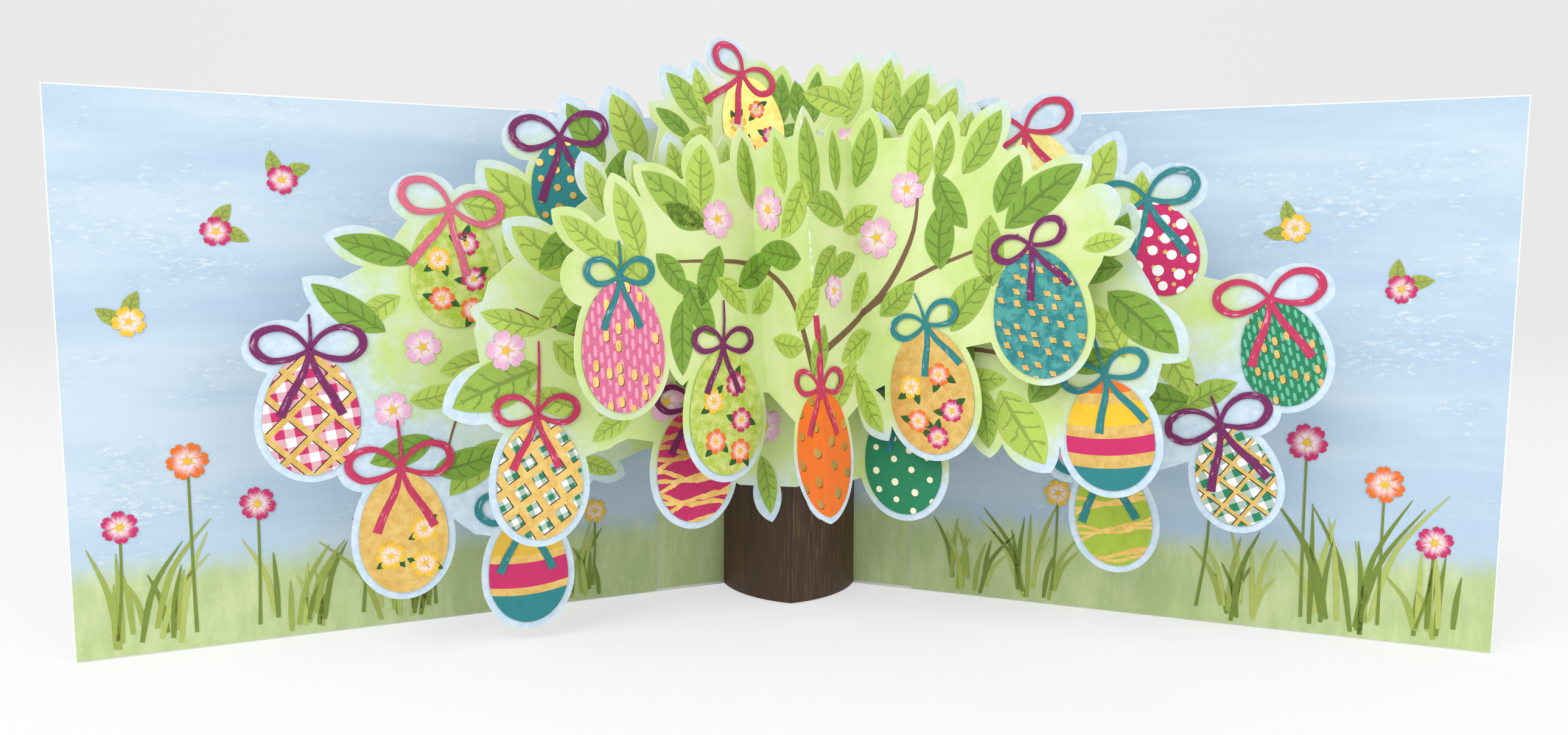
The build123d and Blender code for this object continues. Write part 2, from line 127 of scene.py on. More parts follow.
# Edges of the area between the eggs and leaves where more leaves and blossoms are printed
BACK_AREA = [
    (-112, 70), (-100, 84), (-84, 98), (-66, 104), (-52, 114), (-30, 118), (30, 118), (52, 112),
    (70, 100), (90, 82), (104, 76), (104, 58), (92, 48), (70, 46), (0, 60), (-48, 48), (-62, 36),
    (-80, 40), (-98, 48),
]
CROWN_AREA = [(-34, 118), (-24, 127), (20, 129), (38, 124), (38, 110), (-30, 108)]
MIDDLE_AREA = [
    (-74, 78), (-66, 92), (-44, 104), (-10, 110), (30, 108), (62, 98), (78, 84), (82, 66),
    (66, 58), (40, 50), (0, 42), (-20, 46), (-50, 58), (-70, 64),
]
FRONT_AREA = [
    (-64, 94), (-50, 101), (-30, 106), (0, 110), (40, 109), (60, 100), (72, 92), (66, 84),
    (48, 76), (28, 66), (12, 60), (-12, 60), (-34, 70), (-52, 86),
]


# ---------------------------------------------------------------- places on folded sheets

def wing_path(fold, half_angle):
    """Plan path of a V-folded sheet whose fold lies in front of the spine."""
    across, out = PAGE * sin(radians(half_angle)), PAGE * cos(radians(half_angle))
    return [(-across, -fold - out), (0.0, -fold), (across, -fold - out)]


class Sheet:
    """A folded sheet: turns a place on the flat sheet into a point of the scene."""

    def __init__(self, path, marks, face, lean=0.0):
        self.path = path
        self.marks = marks
        self.face = face
        self.up = Vector((-sin(radians(lean)), 0, cos(radians(lean))))
        self.right = Vector((cos(radians(lean)), 0, sin(radians(lean))))
        self.foot = Vector((0, 0, LEAN_HEIGHT)) - self.up * LEAN_HEIGHT
        self.ways = []
        for (x0, y0), (x1, y1) in zip(path, path[1:]):
            length = hypot(x1 - x0, y1 - y0)
            self.ways.append(((x1 - x0) / length, (y1 - y0) / length))

    def plan(self, across, height):
        """Plan position, height measured off the printed face."""
        lift = self.face + height
        for index in range(1, len(self.marks) - 1):
            if abs(across - self.marks[index]) < 1e-4:
                before, after = self.ways[index - 1], self.ways[index]
                mitre = lift / (1 + before[0] * after[0] + before[1] * after[1])
                x, y = self.path[index]
                return x + mitre * (before[1] + after[1]), y - mitre * (before[0] + after[0])
        index = 0
        while index < len(self.ways) - 1 and across > self.marks[index + 1]:
            index += 1
        way = self.ways[index]
        x, y = self.path[index]
        reach = across - self.marks[index]
        return x + reach * way[0] + lift * way[1], y + reach * way[1] - lift * way[0]

    def place(self, across, up, height):
        x, y = self.plan(across, height)
        return (self.foot + self.right * x + Vector((0, y, 0)) + self.up * up) * MM


def front_path():
    """Plan path of the front canopy: two wings and two narrow panels folded forwards."""
    valley, centre, half_span, panel = 55.0, 3.6, 11.6, 20.0
    rise = sqrt(panel ** 2 - half_span ** 2)
    left, right = centre - half_span, centre + half_span
    return [
        (left - PAGE * sin(radians(51.5)), -valley - PAGE * cos(radians(51.5))),
        (left, -valley),
        (centre, -valley - rise),
        (right, -valley),
        (right + PAGE * sin(radians(58.5)), -valley - PAGE * cos(radians(58.5))),
    ]


SHEETS = {
    "pages": Sheet(wing_path(0.0, OPEN), (-PAGE, 0, PAGE), LINER),
    "back": Sheet(wing_path(27.26, OPEN), (-PAGE, 0, PAGE), PAPER / 2),
    "crown": Sheet(wing_path(34.0, 64.0), (-PAGE, 0, PAGE), PAPER / 2),
    "middle": Sheet(wing_path(42.0, 61.5), (-PAGE, 0, PAGE), PAPER / 2, 4.0),
    "front": Sheet(front_path(), (-20 - PAGE, -20, 0, 20, 20 + PAGE), PAPER / 2, 4.6),
}


# ---------------------------------------------------------------- printing shapes on a sheet

class Print:
    """Flat shapes on one sheet, gathered into one thin closed mesh that follows its folds."""

    def __init__(self, sheet):
        self.sheet = SHEETS[sheet]
        self.flat = bmesh.new()
        self.spot = self.flat.loops.layers.uv.new("spot")
        self.ink = self.flat.loops.layers.float_color.new("ink")
        self.layer = self.flat.verts.layers.float.new("layer")
        self.count = 0

    def shape(self, points, faces, spots, colour, layer, material=0):
        """One shape. spots are the places of its points in its own pattern."""
        lift = layer * STEP + (self.count % 5) * 0.006
        self.count += 1
        made = []
        for across, up in points:
            vert = self.flat.verts.new((across, up, 0))
            vert[self.layer] = lift
            made.append(vert)
        for corners in faces:
            face = self.flat.faces.new([made[i] for i in corners])
            face.material_index = material
            for loop, corner in zip(face.loops, corners):
                loop[self.spot].uv = spots[corner]
                loop[self.ink] = (*colour, 1.0)

    def finish(self, name, materials, slot="canopy_paper"):
        """Cuts the shapes at the folds, gives them their thickness and bends them."""
        for mark in self.sheet.marks[1:-1]:
            everything = self.flat.verts[:] + self.flat.edges[:] + self.flat.faces[:]
            bmesh.ops.bisect_plane(
                self.flat, geom=everything, plane_co=(mark, 0, 0), plane_no=(1, 0, 0), dist=1e-5)
        bmesh.ops.triangulate(self.flat, faces=[f for f in self.flat.faces if len(f.verts) > 4])
        self.flat.normal_update()
        turned = [face for face in self.flat.faces if face.normal.z < 0]
        bmesh.ops.reverse_faces(self.flat, faces=turned)
        solid = bmesh.new()
        spot = solid.loops.layers.uv.new("spot")
        ink = solid.loops.layers.float_color.new("ink")
        tops, feet = {}, {}
        for vert in self.flat.verts:
            lift = vert[self.layer] + 0.02
            tops[vert] = solid.verts.new(self.sheet.place(vert.co.x, vert.co.y, lift + PRINT))
            feet[vert] = solid.verts.new(self.sheet.place(vert.co.x, vert.co.y, lift))
        for face in self.flat.faces:
            loops = list(face.loops)
            rows = [(tops, loops), (feet, loops[::-1])]
            for loop in loops:
                if loop.edge.is_boundary:
                    after = loop.link_loop_next
                    rows.append((None, [(feet, loop), (feet, after), (tops, after), (tops, loop)]))
            for height, corners in rows:
                pairs = corners if height is None else [(height, loop) for loop in corners]
                made = solid.faces.new([level[loop.vert] for level, loop in pairs])
                made.material_index = face.material_index
                for new, (level, loop) in zip(made.loops, pairs):
                    new[spot].uv = loop[self.spot].uv
                    new[ink] = loop[self.ink]
        mesh = bpy.data.meshes.new(name)
        solid.to_mesh(mesh)
        piece = bpy.data.objects.new(name, mesh)
        bpy.context.scene.collection.objects.link(piece)
        for material in materials:
            mesh.materials.append(material)
        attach(piece, "root")
        self.flat.free()
        solid.free()
        return piece

    # shapes of the printer's stock

    def grid(self, rows, spots, colour, layer, material=0):
        """A patch from rows of points, each row as long as the next."""
        wide = len(rows[0])
        points = [point for row in rows for point in row]
        marks = [mark for row in spots for mark in row]
        faces = []
        for j in range(len(rows) - 1):
            for i in range(wide - 1):
                corner = j * wide + i
                faces.append((corner, corner + 1, corner + wide + 1, corner + wide))
        self.shape(points, faces, marks, colour, layer, material)

    def leaf(self, tip, base, half, colour, layer, bend=0.0, material=0):
        """A pointed leaf from base to tip; half is half its width."""
        length = hypot(tip[0] - base[0], tip[1] - base[1])
        along = ((tip[0] - base[0]) / length, (tip[1] - base[1]) / length)
        side = (-along[1], along[0])
        rows, spots = [], []
        for j in range(15):
            s = j / 14
            wide = max(half * (4 * s * (1 - s)) ** 0.85 * (1.12 - 0.24 * s), 0.02)
            sway = bend * length * 4 * s * (1 - s)
            row, marks = [], []
            for t in (-1, -0.5, 0, 0.5, 1):
                off = sway + t * wide
                row.append((base[0] + along[0] * s * length + side[0] * off,
                            base[1] + along[1] * s * length + side[1] * off))
                marks.append((s, t))
            rows.append(row)
            spots.append(marks)
        self.grid(rows, spots, colour, layer, material)

    def petal(self, heart, angle, length, half, colour, layer, material=0):
        """A rounded petal with a shallow notch at its outer end."""
        along = (cos(angle), sin(angle))
        side = (-along[1], along[0])
        rows, spots = [], []
        for j in range(10):
            s = j / 9
            wide = half * (0.12 + 0.88 * sin(pi * min(s * 0.66, 0.5)) ** 1.1)
            if s > 0.72:
                wide *= sqrt(max(1 - ((s - 0.72) / 0.30) ** 2, 0.05))
            row, marks = [], []
            for t in (-1, -0.5, 0, 0.5, 1):
                reach = length * s - (0.10 * length * (1 - abs(t)) * s ** 6)
                row.append((heart[0] + along[0] * reach + side[0] * t * wide,
                            heart[1] + along[1] * reach + side[1] * t * wide))
                marks.append((s, t))
            rows.append(row)
            spots.append(marks)
        self.grid(rows, spots, colour, layer, material)

    def disc(self, heart, radius, colour, layer, material=0, corners=12):
        points = [heart]
        spots = [(0.0, 0.0)]
        for i in range(corners):
            angle = 2 * pi * i / corners
            points.append((heart[0] + radius * cos(angle), heart[1] + radius * sin(angle)))
            spots.append((cos(angle), sin(angle)))
        faces = [(0, i + 1, (i + 1) % corners + 1) for i in range(corners)]
        self.shape(points, faces, spots, colour, layer, material)

    def stroke(self, route, widths, colour, layer, material=0, parts=5):
        """A brush stroke on a smooth curve through the route's points."""
        line = smooth(route, parts)
        rows, spots = [], []
        last = len(line) - 1
        for j, (x, y) in enumerate(line):
            x0, y0 = line[max(j - 1, 0)]
            x1, y1 = line[min(j + 1, last)]
            length = hypot(x1 - x0, y1 - y0)
            side = ((y0 - y1) / length, (x1 - x0) / length)
            place = j / last * (len(widths) - 1)
            low = min(int(place), len(widths) - 2)
            wide = widths[low] + (widths[low + 1] - widths[low]) * (place - low)
            rows.append([(x - side[0] * wide / 2, y - side[1] * wide / 2),
                         (x + side[0] * wide / 2, y + side[1] * wide / 2)])
            spots.append([(j / last, -1.0), (j / last, 1.0)])
        self.grid(rows, spots, colour, layer, material)

    def egg(self, across, up, width, height, turn, colour, layer, material=0):
        """An egg whose pattern is laid out in millimetres from its middle."""
        low = 0.44 * height
        points, spots = [(across, up)], [(0.0, 0.0)]
        faces = []
        corners, rings = 48, 3
        for ring in range(1, rings + 1):
            for i in range(corners):
                angle = 2 * pi * i / corners
                reach = height - low if sin(angle) > 0 else low
                x = width / 2 * cos(angle) * ring / rings
                y = (reach * sin(angle) + low - height / 2) * ring / rings
                points.append(turned((across, up), (x, y), turn))
                spots.append((x, y))
        for i in range(corners):
            after = (i + 1) % corners
            faces.append((0, i + 1, after + 1))
            for ring in range(1, rings):
                inner, outer = (ring - 1) * corners + 1, ring * corners + 1
                faces.append((inner + i, outer + i, outer + after, inner + after))
        self.shape(points, faces, spots, colour, layer, material)


def turned(heart, offset, turn):
    """A place at an offset from the heart, in axes turned by so many degrees."""
    c, s = cos(radians(turn)), sin(radians(turn))
    return heart[0] + offset[0] * c - offset[1] * s, heart[1] + offset[0] * s + offset[1] * c


def smooth(route, parts):
    """Points of a smooth curve through the route's points."""
    if len(route) == 2:
        return list(route)
    line = []
    for i in range(len(route) - 1):
        p0, p1 = route[max(i - 1, 0)], route[i]
        p2, p3 = route[i + 1], route[min(i + 2, len(route) - 1)]
        for k in range(parts):
            t = k / parts
            line.append(tuple(
                0.5 * (2 * p1[a] + (p2[a] - p0[a]) * t
                       + (2 * p0[a] - 5 * p1[a] + 4 * p2[a] - p3[a]) * t * t
                       + (3 * p1[a] - p0[a] - 3 * p2[a] + p3[a]) * t ** 3) for a in (0, 1)))
    line.append(route[-1])
    return line


def inside(place, area):
    """Whether a place lies inside an area given by its corners."""
    x, y = place
    found = False
    for (x0, y0), (x1, y1) in zip(area, area[1:] + area[:1]):
        if (y0 > y) != (y1 > y) and x < (x1 - x0) * (y - y0) / (y1 - y0) + x0:
            found = not found
    return found


def knot_of(row):
    """Place of the bow's knot on an egg's top."""
    across, up, _, height, turn = row[:5]
    return turned((across, up), (0, height / 2 + 0.8), turn)


# ---------------------------------------------------------------- shader maths

def linear(value):
    return value / 12.92 if value <= 0.04045 else ((value + 0.055) / 1.055) ** 2.4


def paint(red, green, blue):
    """A colour as it looks, in the linear values that a shader takes."""
    return linear(red), linear(green), linear(blue)


class Wire:
    """One socket of a material, with the sums that shaders need."""

    def __init__(self, recipe, socket):
        self.recipe = recipe
        self.socket = socket

    def sum(self, kind, *values):
        return self.recipe.node("ShaderNodeMath", {"operation": kind}, dict(enumerate(values)))

    def __add__(self, other):
        return self.sum("ADD", self, other)

    def __radd__(self, other):
        return self.sum("ADD", other, self)

    def __sub__(self, other):
        return self.sum("SUBTRACT", self, other)

    def __rsub__(self, other):
        return self.sum("SUBTRACT", other, self)

    def __mul__(self, other):
        return self.sum("MULTIPLY", self, other)

    def __rmul__(self, other):
        return self.sum("MULTIPLY", other, self)

    def __truediv__(self, other):
        return self.sum("DIVIDE", self, other)

    def __lt__(self, other):
        return self.sum("LESS_THAN", self, other)

    def __gt__(self, other):
        return self.sum("GREATER_THAN", self, other)

    def __abs__(self):
        return self.sum("ABSOLUTE", self)

    def whole(self):
        return self.sum("FLOOR", self)

    def part(self):
        return self.sum("FRACT", self)

    def most(self, other):
        return self.sum("MAXIMUM", self, other)

    def root(self):
        return self.sum("SQRT", self)

    def wave(self):
        return self.sum("SINE", self)


class Recipe:
    """A material's nodes, built from short expressions."""

    def __init__(self, name):
        self.material = bpy.data.materials.new(name)
        self.material.use_nodes = True
        self.tree = self.material.node_tree
        self.tree.nodes.clear()
        self.shader = self.tree.nodes.new("ShaderNodeBsdfPrincipled")
        self.output = self.tree.nodes.new("ShaderNodeOutputMaterial")
        self.tree.links.new(self.shader.outputs[0], self.output.inputs[0])

    def node(self, kind, settings=None, inputs=None, output=0):
        """Adds a node with its settings, sets or links its sockets and hands back one output."""
        made = self.tree.nodes.new(kind)
        for key, value in (settings or {}).items():
            if key == "stops":
                self.set_stops(made.color_ramp, value)
            elif key == "steps":
                made.color_ramp.interpolation = value
            else:
                setattr(made, key, value)
        for key, value in (inputs or {}).items():
            self.feed(made.inputs[key], value)
        return Wire(self, made.outputs[output])

    @staticmethod
    def set_stops(ramp, stops):
        while len(ramp.elements) < len(stops):
            ramp.elements.new(0.5)
        for element, (place, colour) in zip(ramp.elements, stops):
            element.position = place
            element.color = (*colour, 1.0)

    def feed(self, socket, value):
        if isinstance(value, Wire):
            self.tree.links.new(value.socket, socket)
        elif isinstance(value, tuple) and len(value) == 3 and socket.type == "RGBA":
            socket.default_value = (*value, 1.0)
        else:
            socket.default_value = value

    def finish(self, **sockets):
        for key, value in sockets.items():
            self.feed(self.shader.inputs[key.replace("_", " ")], value)
        return self.material

    def mix(self, factor, first, second):
        return self.node("ShaderNodeMix", {"data_type": "RGBA"}, {0: factor, 6: first, 7: second}, 2)

    def shade(self, colour, amount):
        """A colour made darker or lighter by a changing amount."""
        return self.node("ShaderNodeVectorMath", {"operation": "SCALE"}, {0: colour, 3: amount})

    def place(self):
        """Position on the object, in millimetres."""
        spot = self.node("ShaderNodeTexCoord", output=3)
        return self.node("ShaderNodeVectorMath", {"operation": "SCALE"}, {0: spot, 3: 1000.0})

    def stretch(self, vector, x, y, z):
        return self.node("ShaderNodeVectorMath", {"operation": "MULTIPLY"}, {0: vector, 1: (x, y, z)})

    def axes(self, vector):
        return [self.node("ShaderNodeSeparateXYZ", None, {0: vector}, i) for i in range(3)]

    def join(self, x, y, z=0.0):
        return self.node("ShaderNodeCombineXYZ", None, {0: x, 1: y, 2: z})

    def spot(self):
        return self.node("ShaderNodeUVMap", {"uv_map": "spot"})

    def ink(self):
        return self.node("ShaderNodeAttribute", {"attribute_name": "ink"})

    def noise(self, vector, scale, detail=2.0, roughness=0.5):
        return self.node("ShaderNodeTexNoise", None, {
            "Vector": vector, "Scale": scale, "Detail": detail, "Roughness": roughness})

    def chance(self, x, y):
        """A fixed random number for each cell."""
        return self.node("ShaderNodeTexWhiteNoise", {"noise_dimensions": "2D"}, {"Vector": self.join(x, y)})

    def ease(self, value, low, high):
        return self.node("ShaderNodeMapRange", {"interpolation_type": "SMOOTHSTEP"}, {
            "Value": value, "From Min": low, "From Max": high})

    def bump(self, height, strength, distance):
        return self.node("ShaderNodeBump", None, {
            "Height": height, "Strength": strength, "Distance": distance})

    def grain(self, strength=0.25):
        """The tooth of uncoated paper, as a bump."""
        place = self.place()
        tooth = self.noise(place, 3.2, 4.0, 0.65) + self.noise(self.stretch(place, 1, 1, 0.3), 0.9) * 0.6
        return self.bump(tooth, strength, 0.00006)


# ---------------------------------------------------------------- the card's colours

COLOURS = {
    "purple": paint(0.45, 0.12, 0.36),
    "teal": paint(0.15, 0.50, 0.52),
    "rose": paint(0.76, 0.20, 0.36),
    "pink": paint(0.83, 0.40, 0.50),
    "magenta": paint(0.78, 0.16, 0.40),
    "orange": paint(0.92, 0.45, 0.14),
    "yellow": paint(0.94, 0.76, 0.18),
    "lime": paint(0.66, 0.76, 0.24),
    "green": paint(0.12, 0.50, 0.34),
    "cream": paint(0.97, 0.94, 0.80),
    "white": paint(0.97, 0.97, 0.96),
    "blossom": paint(0.92, 0.70, 0.83),
    "branch": paint(0.46, 0.35, 0.25),
    "blade": paint(0.60, 0.66, 0.30),
    "blade_dark": paint(0.45, 0.53, 0.20),
}
GOLD = paint(0.86, 0.69, 0.36)


def paper_white(name, tone):
    """Plain uncoated paper with a faint fibre."""
    recipe = Recipe(name)
    place = recipe.place()
    fibre = recipe.noise(recipe.stretch(place, 1, 1, 0.4), 0.7, 5.0, 0.7)
    cloud = recipe.noise(place, 0.03, 3.0)
    shade = 0.93 + fibre * 0.06 + cloud * 0.06
    return recipe.finish(
        Base_Color=recipe.shade(recipe.mix(cloud, tone, paint(0.95, 0.95, 0.94)), shade),
        Roughness=0.62 + fibre * 0.2, Specular_IOR_Level=0.35, Normal=recipe.grain())


def sky_print(name, card, horizon, seed):
    """Mottled sky over a band of grass, dry-brushed."""
    recipe = Recipe(name)
    place = recipe.place()
    x, y, z = recipe.axes(place)
    moved = recipe.join(x + seed, y, z)
    bands = recipe.noise(recipe.stretch(moved, 0.35, 0.35, 2.2), 0.028, 4.0, 0.6)
    cloud = recipe.noise(recipe.stretch(moved, 0.6, 0.6, 1.3), 0.05, 6.0, 0.68)
    chalk = recipe.noise(recipe.stretch(moved, 0.7, 0.7, 2.0), 0.55, 3.0, 0.7)
    sky = recipe.mix(recipe.ease(bands, 0.38, 0.66), tuple(card.sky), paint(0.77, 0.84, 0.89))
    sky = recipe.mix(recipe.ease(cloud, 0.50, 0.78) * 0.7, sky, paint(0.64, 0.745, 0.83))
    sky = recipe.mix(recipe.ease(chalk * cloud, 0.30, 0.42) * 0.6, sky, paint(0.88, 0.92, 0.94))
    edge = z + (recipe.noise(recipe.stretch(moved, 1, 1, 0.4), 0.12, 5.0, 0.7) - 0.5) * 9
    field = 1 - recipe.ease(edge, horizon - 5.0, horizon + 4.0)
    tuft = recipe.noise(recipe.stretch(moved, 1.6, 1.6, 0.5), 0.14, 5.0, 0.65)
    grass = recipe.mix(recipe.ease(tuft, 0.35, 0.7), tuple(card.grass), paint(0.78, 0.83, 0.62))
    grass = recipe.mix(recipe.ease(chalk, 0.55, 0.8) * 0.35, grass, paint(0.86, 0.89, 0.72))
    colour = recipe.mix(field, sky, grass)
    front = recipe.node("ShaderNodeNewGeometry", output=1)
    facing = recipe.axes(front)[1] < -0.5
    stipple = recipe.noise(place, 2.6, 2.0, 0.8)
    colour = recipe.shade(colour, 0.96 + stipple * 0.08)
    return recipe.finish(
        Base_Color=recipe.mix(facing, paint(0.95, 0.95, 0.94), colour),
        Roughness=0.55 + stipple * 0.12, Specular_IOR_Level=0.3, Normal=recipe.grain(0.2))


def canopy_wash(name, card, heart, reach, fold, seed):
    """Pale blue paper print with a lime wash in the middle, worn white along its fold."""
    recipe = Recipe(name)
    place = recipe.place()
    x, y, z = recipe.axes(place)
    moved = recipe.join(x + seed, y, z)
    cloud = recipe.noise(moved, 0.06, 5.0, 0.62)
    fine = recipe.noise(moved, 0.5, 3.0, 0.7)
    stipple = recipe.noise(place, 2.6, 2.0, 0.8)
    dx, dz = (x - heart[0]) / reach[0], (z - heart[1]) / reach[1]
    spread = dx * dx + dz * dz + (cloud - 0.5) * 0.9 + (fine - 0.5) * 0.2
    inner = 1 - recipe.ease(spread, 0.62, 1.02)
    lime = recipe.mix(recipe.ease(cloud, 0.35, 0.65), tuple(card.wash), paint(0.84, 0.89, 0.66))
    halo = recipe.mix(recipe.ease(fine, 0.35, 0.7), tuple(card.halo), paint(0.83, 0.89, 0.94))
    colour = recipe.mix(inner, halo, lime)
    colour = recipe.shade(colour, 0.96 + stipple * 0.08)
    line = abs(x - fold[0] + (z - LEAN_HEIGHT) * fold[1])
    worn = (1 - recipe.ease(line, 0.10, 0.32)) * recipe.ease(fine, 0.45, 0.6) * fold[2]
    colour = recipe.mix(worn, colour, paint(0.93, 0.94, 0.93))
    front = recipe.node("ShaderNodeNewGeometry", output=1)
    facing = recipe.axes(front)[1] < -0.45
    return recipe.finish(
        Base_Color=recipe.mix(facing, paint(0.94, 0.94, 0.93), colour),
        Roughness=0.5 + stipple * 0.14, Specular_IOR_Level=0.35, Normal=recipe.grain(0.2))


def bark_print(name, card):
    """Dark brown bark with fine upright streaks and a dark line down the fold, with painted light: the pale
    streaks grow stronger towards the trunk's right half.
    """
    recipe = Recipe(name)
    place = recipe.place()
    x = recipe.axes(place)[0]
    long = recipe.noise(recipe.stretch(place, 1, 1, 0.05), 1.1, 5.0, 0.7)
    streak = recipe.noise(recipe.stretch(place, 1, 1, 0.03), 2.4, 3.0, 0.6)
    blotch = recipe.noise(recipe.stretch(place, 1, 1, 0.2), 0.18, 3.0)
    # painted light: the pale bark streaks are real, but they are made stronger across the trunk towards its
    # right half
    lit = recipe.ease(streak, 0.56, 0.66) * (0.35 + recipe.ease(x, -6.0, 6.0) * 0.65)
    colour = recipe.mix(long, paint(0.17, 0.11, 0.06), tuple(card.bark))
    colour = recipe.mix(recipe.ease(blotch, 0.5, 0.7) * 0.5, colour, paint(0.36, 0.25, 0.15))
    colour = recipe.mix(lit * 0.6, colour, paint(0.50, 0.38, 0.20))
    crease = 1 - recipe.ease(abs(x - 0.1), 0.15, 0.4)
    pale = (1 - recipe.ease(abs(x - 0.55), 0.1, 0.3)) * recipe.ease(long, 0.45, 0.6)
    colour = recipe.mix(pale * 0.5, recipe.mix(crease * 0.7, colour, paint(0.10, 0.13, 0.10)),
                        paint(0.62, 0.52, 0.40))
    return recipe.finish(Base_Color=colour, Roughness=0.42 + long * 0.2, Specular_IOR_Level=0.4,
                         Normal=recipe.grain(0.25))


def brushed_ink(name, roughness=0.5):
    """Opaque paint in each shape's own colour, with brush marks."""
    recipe = Recipe(name)
    place = recipe.place()
    marks = recipe.noise(recipe.stretch(place, 0.8, 0.8, 0.5), 0.6, 4.0, 0.65)
    stipple = recipe.noise(place, 2.6, 2.0, 0.8)
    colour = recipe.shade(recipe.ink(), 0.78 + marks * 0.34 + stipple * 0.1)
    return recipe.finish(Base_Color=colour, Roughness=roughness + stipple * 0.12,
                         Specular_IOR_Level=0.35, Normal=recipe.grain(0.2))


def leaf_ink(name):
    """Leaf paint: a darker midrib and side veins, one half lighter, dry strokes along it."""
    recipe = Recipe(name)
    spot = recipe.spot()
    s, t, _ = recipe.axes(spot)
    place = recipe.place()
    wobble = recipe.noise(place, 0.5, 2.0) - 0.5
    across = abs(t)
    rib = (across + wobble * 0.08) < (0.13 - s * 0.07)
    ridge = abs((s * 5.2 - across * 0.85 + wobble * 0.7).part() - 0.5)
    vein = (ridge < 0.085) * (across < 0.82) * (s < 0.9)
    marks = recipe.noise(recipe.join(s * 5, t * 3.0, recipe.axes(place)[0] * 0.3), 1.4, 4.0, 0.7)
    half = recipe.ease(t, -0.1, 0.1)
    colour = recipe.shade(recipe.ink(), 0.80 + marks * 0.32 + half * 0.10)
    dry = recipe.ease(marks, 0.62, 0.76) * 0.35
    colour = recipe.mix(dry, colour, paint(0.84, 0.89, 0.60))
    drawn = rib.most(vein) * 0.72
    colour = recipe.mix(drawn, colour, recipe.shade(recipe.ink(), 0.50))
    stipple = recipe.noise(place, 2.6, 2.0, 0.8)
    return recipe.finish(Base_Color=colour, Roughness=0.5 + stipple * 0.12,
                         Specular_IOR_Level=0.35, Normal=recipe.grain(0.2))


def petal_ink(name):
    """Petal paint: white in the middle, its own colour at the edge, deeper at the heart."""
    recipe = Recipe(name)
    s, t, _ = recipe.axes(recipe.spot())
    place = recipe.place()
    streak = recipe.noise(recipe.join(t * 2.2, s * 0.7, recipe.axes(place)[0] * 0.2), 1.8, 3.0, 0.6)
    colour = recipe.mix(recipe.ease(s + streak * 0.5, 0.45, 1.05), paint(0.97, 0.90, 0.94), recipe.ink())
    colour = recipe.mix(recipe.ease(streak, 0.56, 0.66) * 0.5, colour, recipe.shade(recipe.ink(), 0.72))
    heart = (1 - recipe.ease(s, 0.05, 0.35)) * 0.75
    colour = recipe.mix(heart, colour, recipe.shade(recipe.ink(), 0.6))
    stipple = recipe.noise(place, 2.6, 2.0, 0.8)
    return recipe.finish(Base_Color=recipe.shade(colour, 0.95 + stipple * 0.08),
                         Roughness=0.5 + stipple * 0.12, Specular_IOR_Level=0.35,
                         Normal=recipe.grain(0.2))


def ribbon_ink(name):
    """Ribbon paint: strokes along the ribbon and pale glints on the loops."""
    recipe = Recipe(name)
    s, t, _ = recipe.axes(recipe.spot())
    place = recipe.place()
    marks = recipe.noise(recipe.join(s * 6, t * 1.2, recipe.axes(place)[0] * 0.15), 1.2, 3.0, 0.6)
    glint = recipe.ease(marks, 0.60, 0.68) * recipe.ease(s, 0.12, 0.25) * (1 - recipe.ease(s, 0.72, 0.9))
    colour = recipe.shade(recipe.ink(), 0.78 + marks * 0.42)
    pale = recipe.mix(0.55, recipe.ink(), paint(0.95, 0.86, 0.90))
    colour = recipe.mix(glint * 0.8, colour, pale)
    stipple = recipe.noise(place, 2.6, 2.0, 0.8)
    return recipe.finish(Base_Color=recipe.shade(colour, 0.95 + stipple * 0.1),
                         Roughness=0.5 + stipple * 0.12, Specular_IOR_Level=0.35,
                         Normal=recipe.grain(0.2))


# ---------------------------------------------------------------- egg patterns

class EggRecipe(Recipe):
    """The print of one egg, in millimetres from its middle, with gold foil over it."""

    def __init__(self, name):
        super().__init__(name)
        self.x, self.y, _ = self.axes(self.spot())
        place = self.place()
        self.marks = self.noise(place, 0.45, 4.0, 0.65)
        self.stipple = self.noise(place, 2.6, 2.0, 0.8)

    def rotated(self, angle):
        c, s = cos(radians(angle)), sin(radians(angle))
        return self.x * c + self.y * s, self.y * c - self.x * s

    def stamped(self, colour, foil):
        """Ink where there is no foil, gold where there is, with a dark line beside the gold."""
        gold = self.mix(self.ease(self.marks, 0.3, 0.7), GOLD, paint(0.93, 0.80, 0.50))
        inked = self.shade(colour, 0.84 + self.marks * 0.24 + self.stipple * 0.08)
        return self.finish(
            Base_Color=self.mix(foil, inked, gold), Metallic=foil * 0.9,
            Roughness=0.52 - foil * 0.22 + self.stipple * 0.1,
            Specular_IOR_Level=0.35, Normal=self.grain(0.15))

    def cells(self, wide, tall, shift=0.5, jitter=0.0):
        """Cells in columns, every other one shifted: place inside the cell, and a random number."""
        column = (self.x / wide).whole()
        odd = (column / 2).part() * 2
        row_place = self.y / tall + odd * shift
        row = row_place.whole()
        luck = self.chance(column, row)
        other = self.chance(column + 31.7, row)
        px = ((self.x / wide).part() - 0.5 + (luck - 0.5) * jitter) * wide
        py = (row_place.part() - 0.5 + (other - 0.5) * jitter) * tall
        return px, py, luck, other

    def blob(self, px, py, half_wide, half_tall):
        """A mark with rounded corners: 1 inside it."""
        a, b = abs(px) / half_wide, abs(py) / half_tall
        return a.most(b) + (a * b) * 0.35 < 1.0


